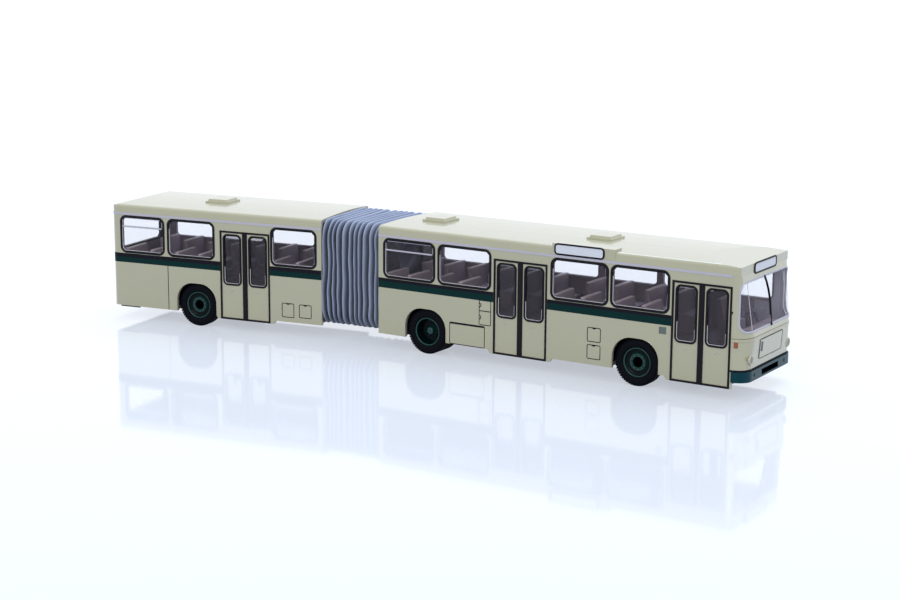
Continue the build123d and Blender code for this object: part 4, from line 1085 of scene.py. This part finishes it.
pleated = pleatTree.grow("pleatedBellows", path + outline, edges, {
    "Pleats": float(bellowsSize["pleats"]), "Depth": bellowsSize["depth"] / half,
    "Sharpness": bellowsSize["sharp"], "Wobble": bellowsSize["wobble"] * mm,
    "Unevenness": bellowsSize["uneven"],
    "Lining": 1 - (bellowsSize["depth"] + bellowsSize["lining"]) / half, "Material": finishes["bellows"],
}, {"isPath": ("FLOAT", "value", [1.0] * first + [0.0] * count)}, smooth=True)
closing = bmesh.new()  # the lining and the pleats are joined at both ends
closing.from_mesh(pleated.data)
rims = [edge for edge in closing.edges if edge.is_boundary]
middle = place("front", (0, 0, 0)).x
for side in (-1, 1):
    bmesh.ops.bridge_loops(closing, edges=[e for e in rims if (e.verts[0].co.x - middle) * side > 0])
bmesh.ops.recalc_face_normals(closing, faces=closing.faces)
closing.to_mesh(pleated.data)
closing.free()
pleated.data.shade_smooth()
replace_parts(pleated, "bellows")
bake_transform(pleated)
print("bus: bellows", len(pleated.data.polygons), "faces")

# Stage: pale glossy floor, soft light from above and behind, camera as in the photograph
stageLook = {"floor": colour(150, 156, 163), "glow": colour(180, 184, 192), "floorSize": 6.0, "skyLight": 0.8,
             "skyTone": (0.965, 0.975, 1.0, 1)}
floorVerts = [(x * stageLook["floorSize"], y * stageLook["floorSize"], 0)
              for x, y in boxCorners(-1, 1, -1, 1)]
floorFinish = Finish("paleFloor")
haze = floorFinish.noise(8.0)
finishes["floor"] = floorFinish.close({
    "Base Color": floorFinish.blend(haze, toned(stageLook["floor"], 0.985), stageLook["floor"]),
    "Roughness": 0.05 + haze * 0.02,
    "Emission Color": floorFinish.blend(floorFinish.directRays(), (0, 0, 0, 1), stageLook["glow"]),
    "Emission Strength": 1.0})
newPiece("floor", floorVerts, [[0, 1, 2, 3]], "floor")

world = bpy.data.worlds.new("studio")
bpy.context.scene.world = world
world.use_nodes = True
sky = Graph(world.node_tree)
strength = stageLook["skyLight"] + sky.directRays() * (1 - stageLook["skyLight"])  # dimmer as light
background = sky.add("ShaderNodeBackground", None, {"Color": stageLook["skyTone"], "Strength": strength})
sky.add("ShaderNodeOutputWorld", None, {"Surface": background})

lampRows = [  # name, place, aim, size, watts, tint
    ("topSoft", (-0.05, 0.35, 0.75), (0, 0, 0.02), 0.7, 5.6, (0.6, 0.74, 1.0)),
    ("doorSoft", (0.15, -0.9, 0.55), (0, 0, 0.02), 0.6, 3.0, (1.0, 1.0, 0.98)),
    ("noseSoft", (0.9, -0.1, 0.45), (0.08, 0, 0.02), 0.5, 1.1, (1.0, 0.99, 0.97)),
]
for label, spot, aim, size, watts, tint in lampRows:
    lamp = bpy.data.lights.new(label, "AREA")
    lamp.shape, lamp.size, lamp.energy, lamp.color = "DISK", size, watts, tint
    holder = linked(label, lamp)
    holder.location = spot
    holder.rotation_euler = (Vector(aim) - Vector(spot)).to_track_quat("-Z", "Y").to_euler()

cameraLook = {"spot": (275.92, -400.03, 110.33), "azimuth": 32.306, "elevation": 11.776, "roll": 0.368,
              "focal": 1825.4, "wide": 900, "sensor": 36.0}
az, el, roll = (math.radians(cameraLook[k]) for k in ("azimuth", "elevation", "roll"))
back = Vector((math.sin(az) * math.cos(el), -math.cos(az) * math.cos(el), math.sin(el)))
right = Vector((math.cos(az), math.sin(az), 0))
up = back.cross(right)
rightRolled = right * math.cos(roll) + up * math.sin(roll)
upRolled = up * math.cos(roll) - right * math.sin(roll)
camera = bpy.data.cameras.new("photoCamera")
camera.sensor_width = cameraLook["sensor"]
camera.lens = cameraLook["sensor"] * cameraLook["focal"] / cameraLook["wide"]
camera.clip_start, camera.clip_end = 0.01, 50.0
holder = linked("photoCamera", camera)
stand = Matrix((rightRolled, upRolled, back)).transposed().to_4x4()
stand.translation = place("front", cameraLook["spot"])
holder.matrix_world = stand
bpy.context.scene.camera = holder
bpy.context.scene.view_settings.view_transform = "Standard"
print("bus: stage and camera")
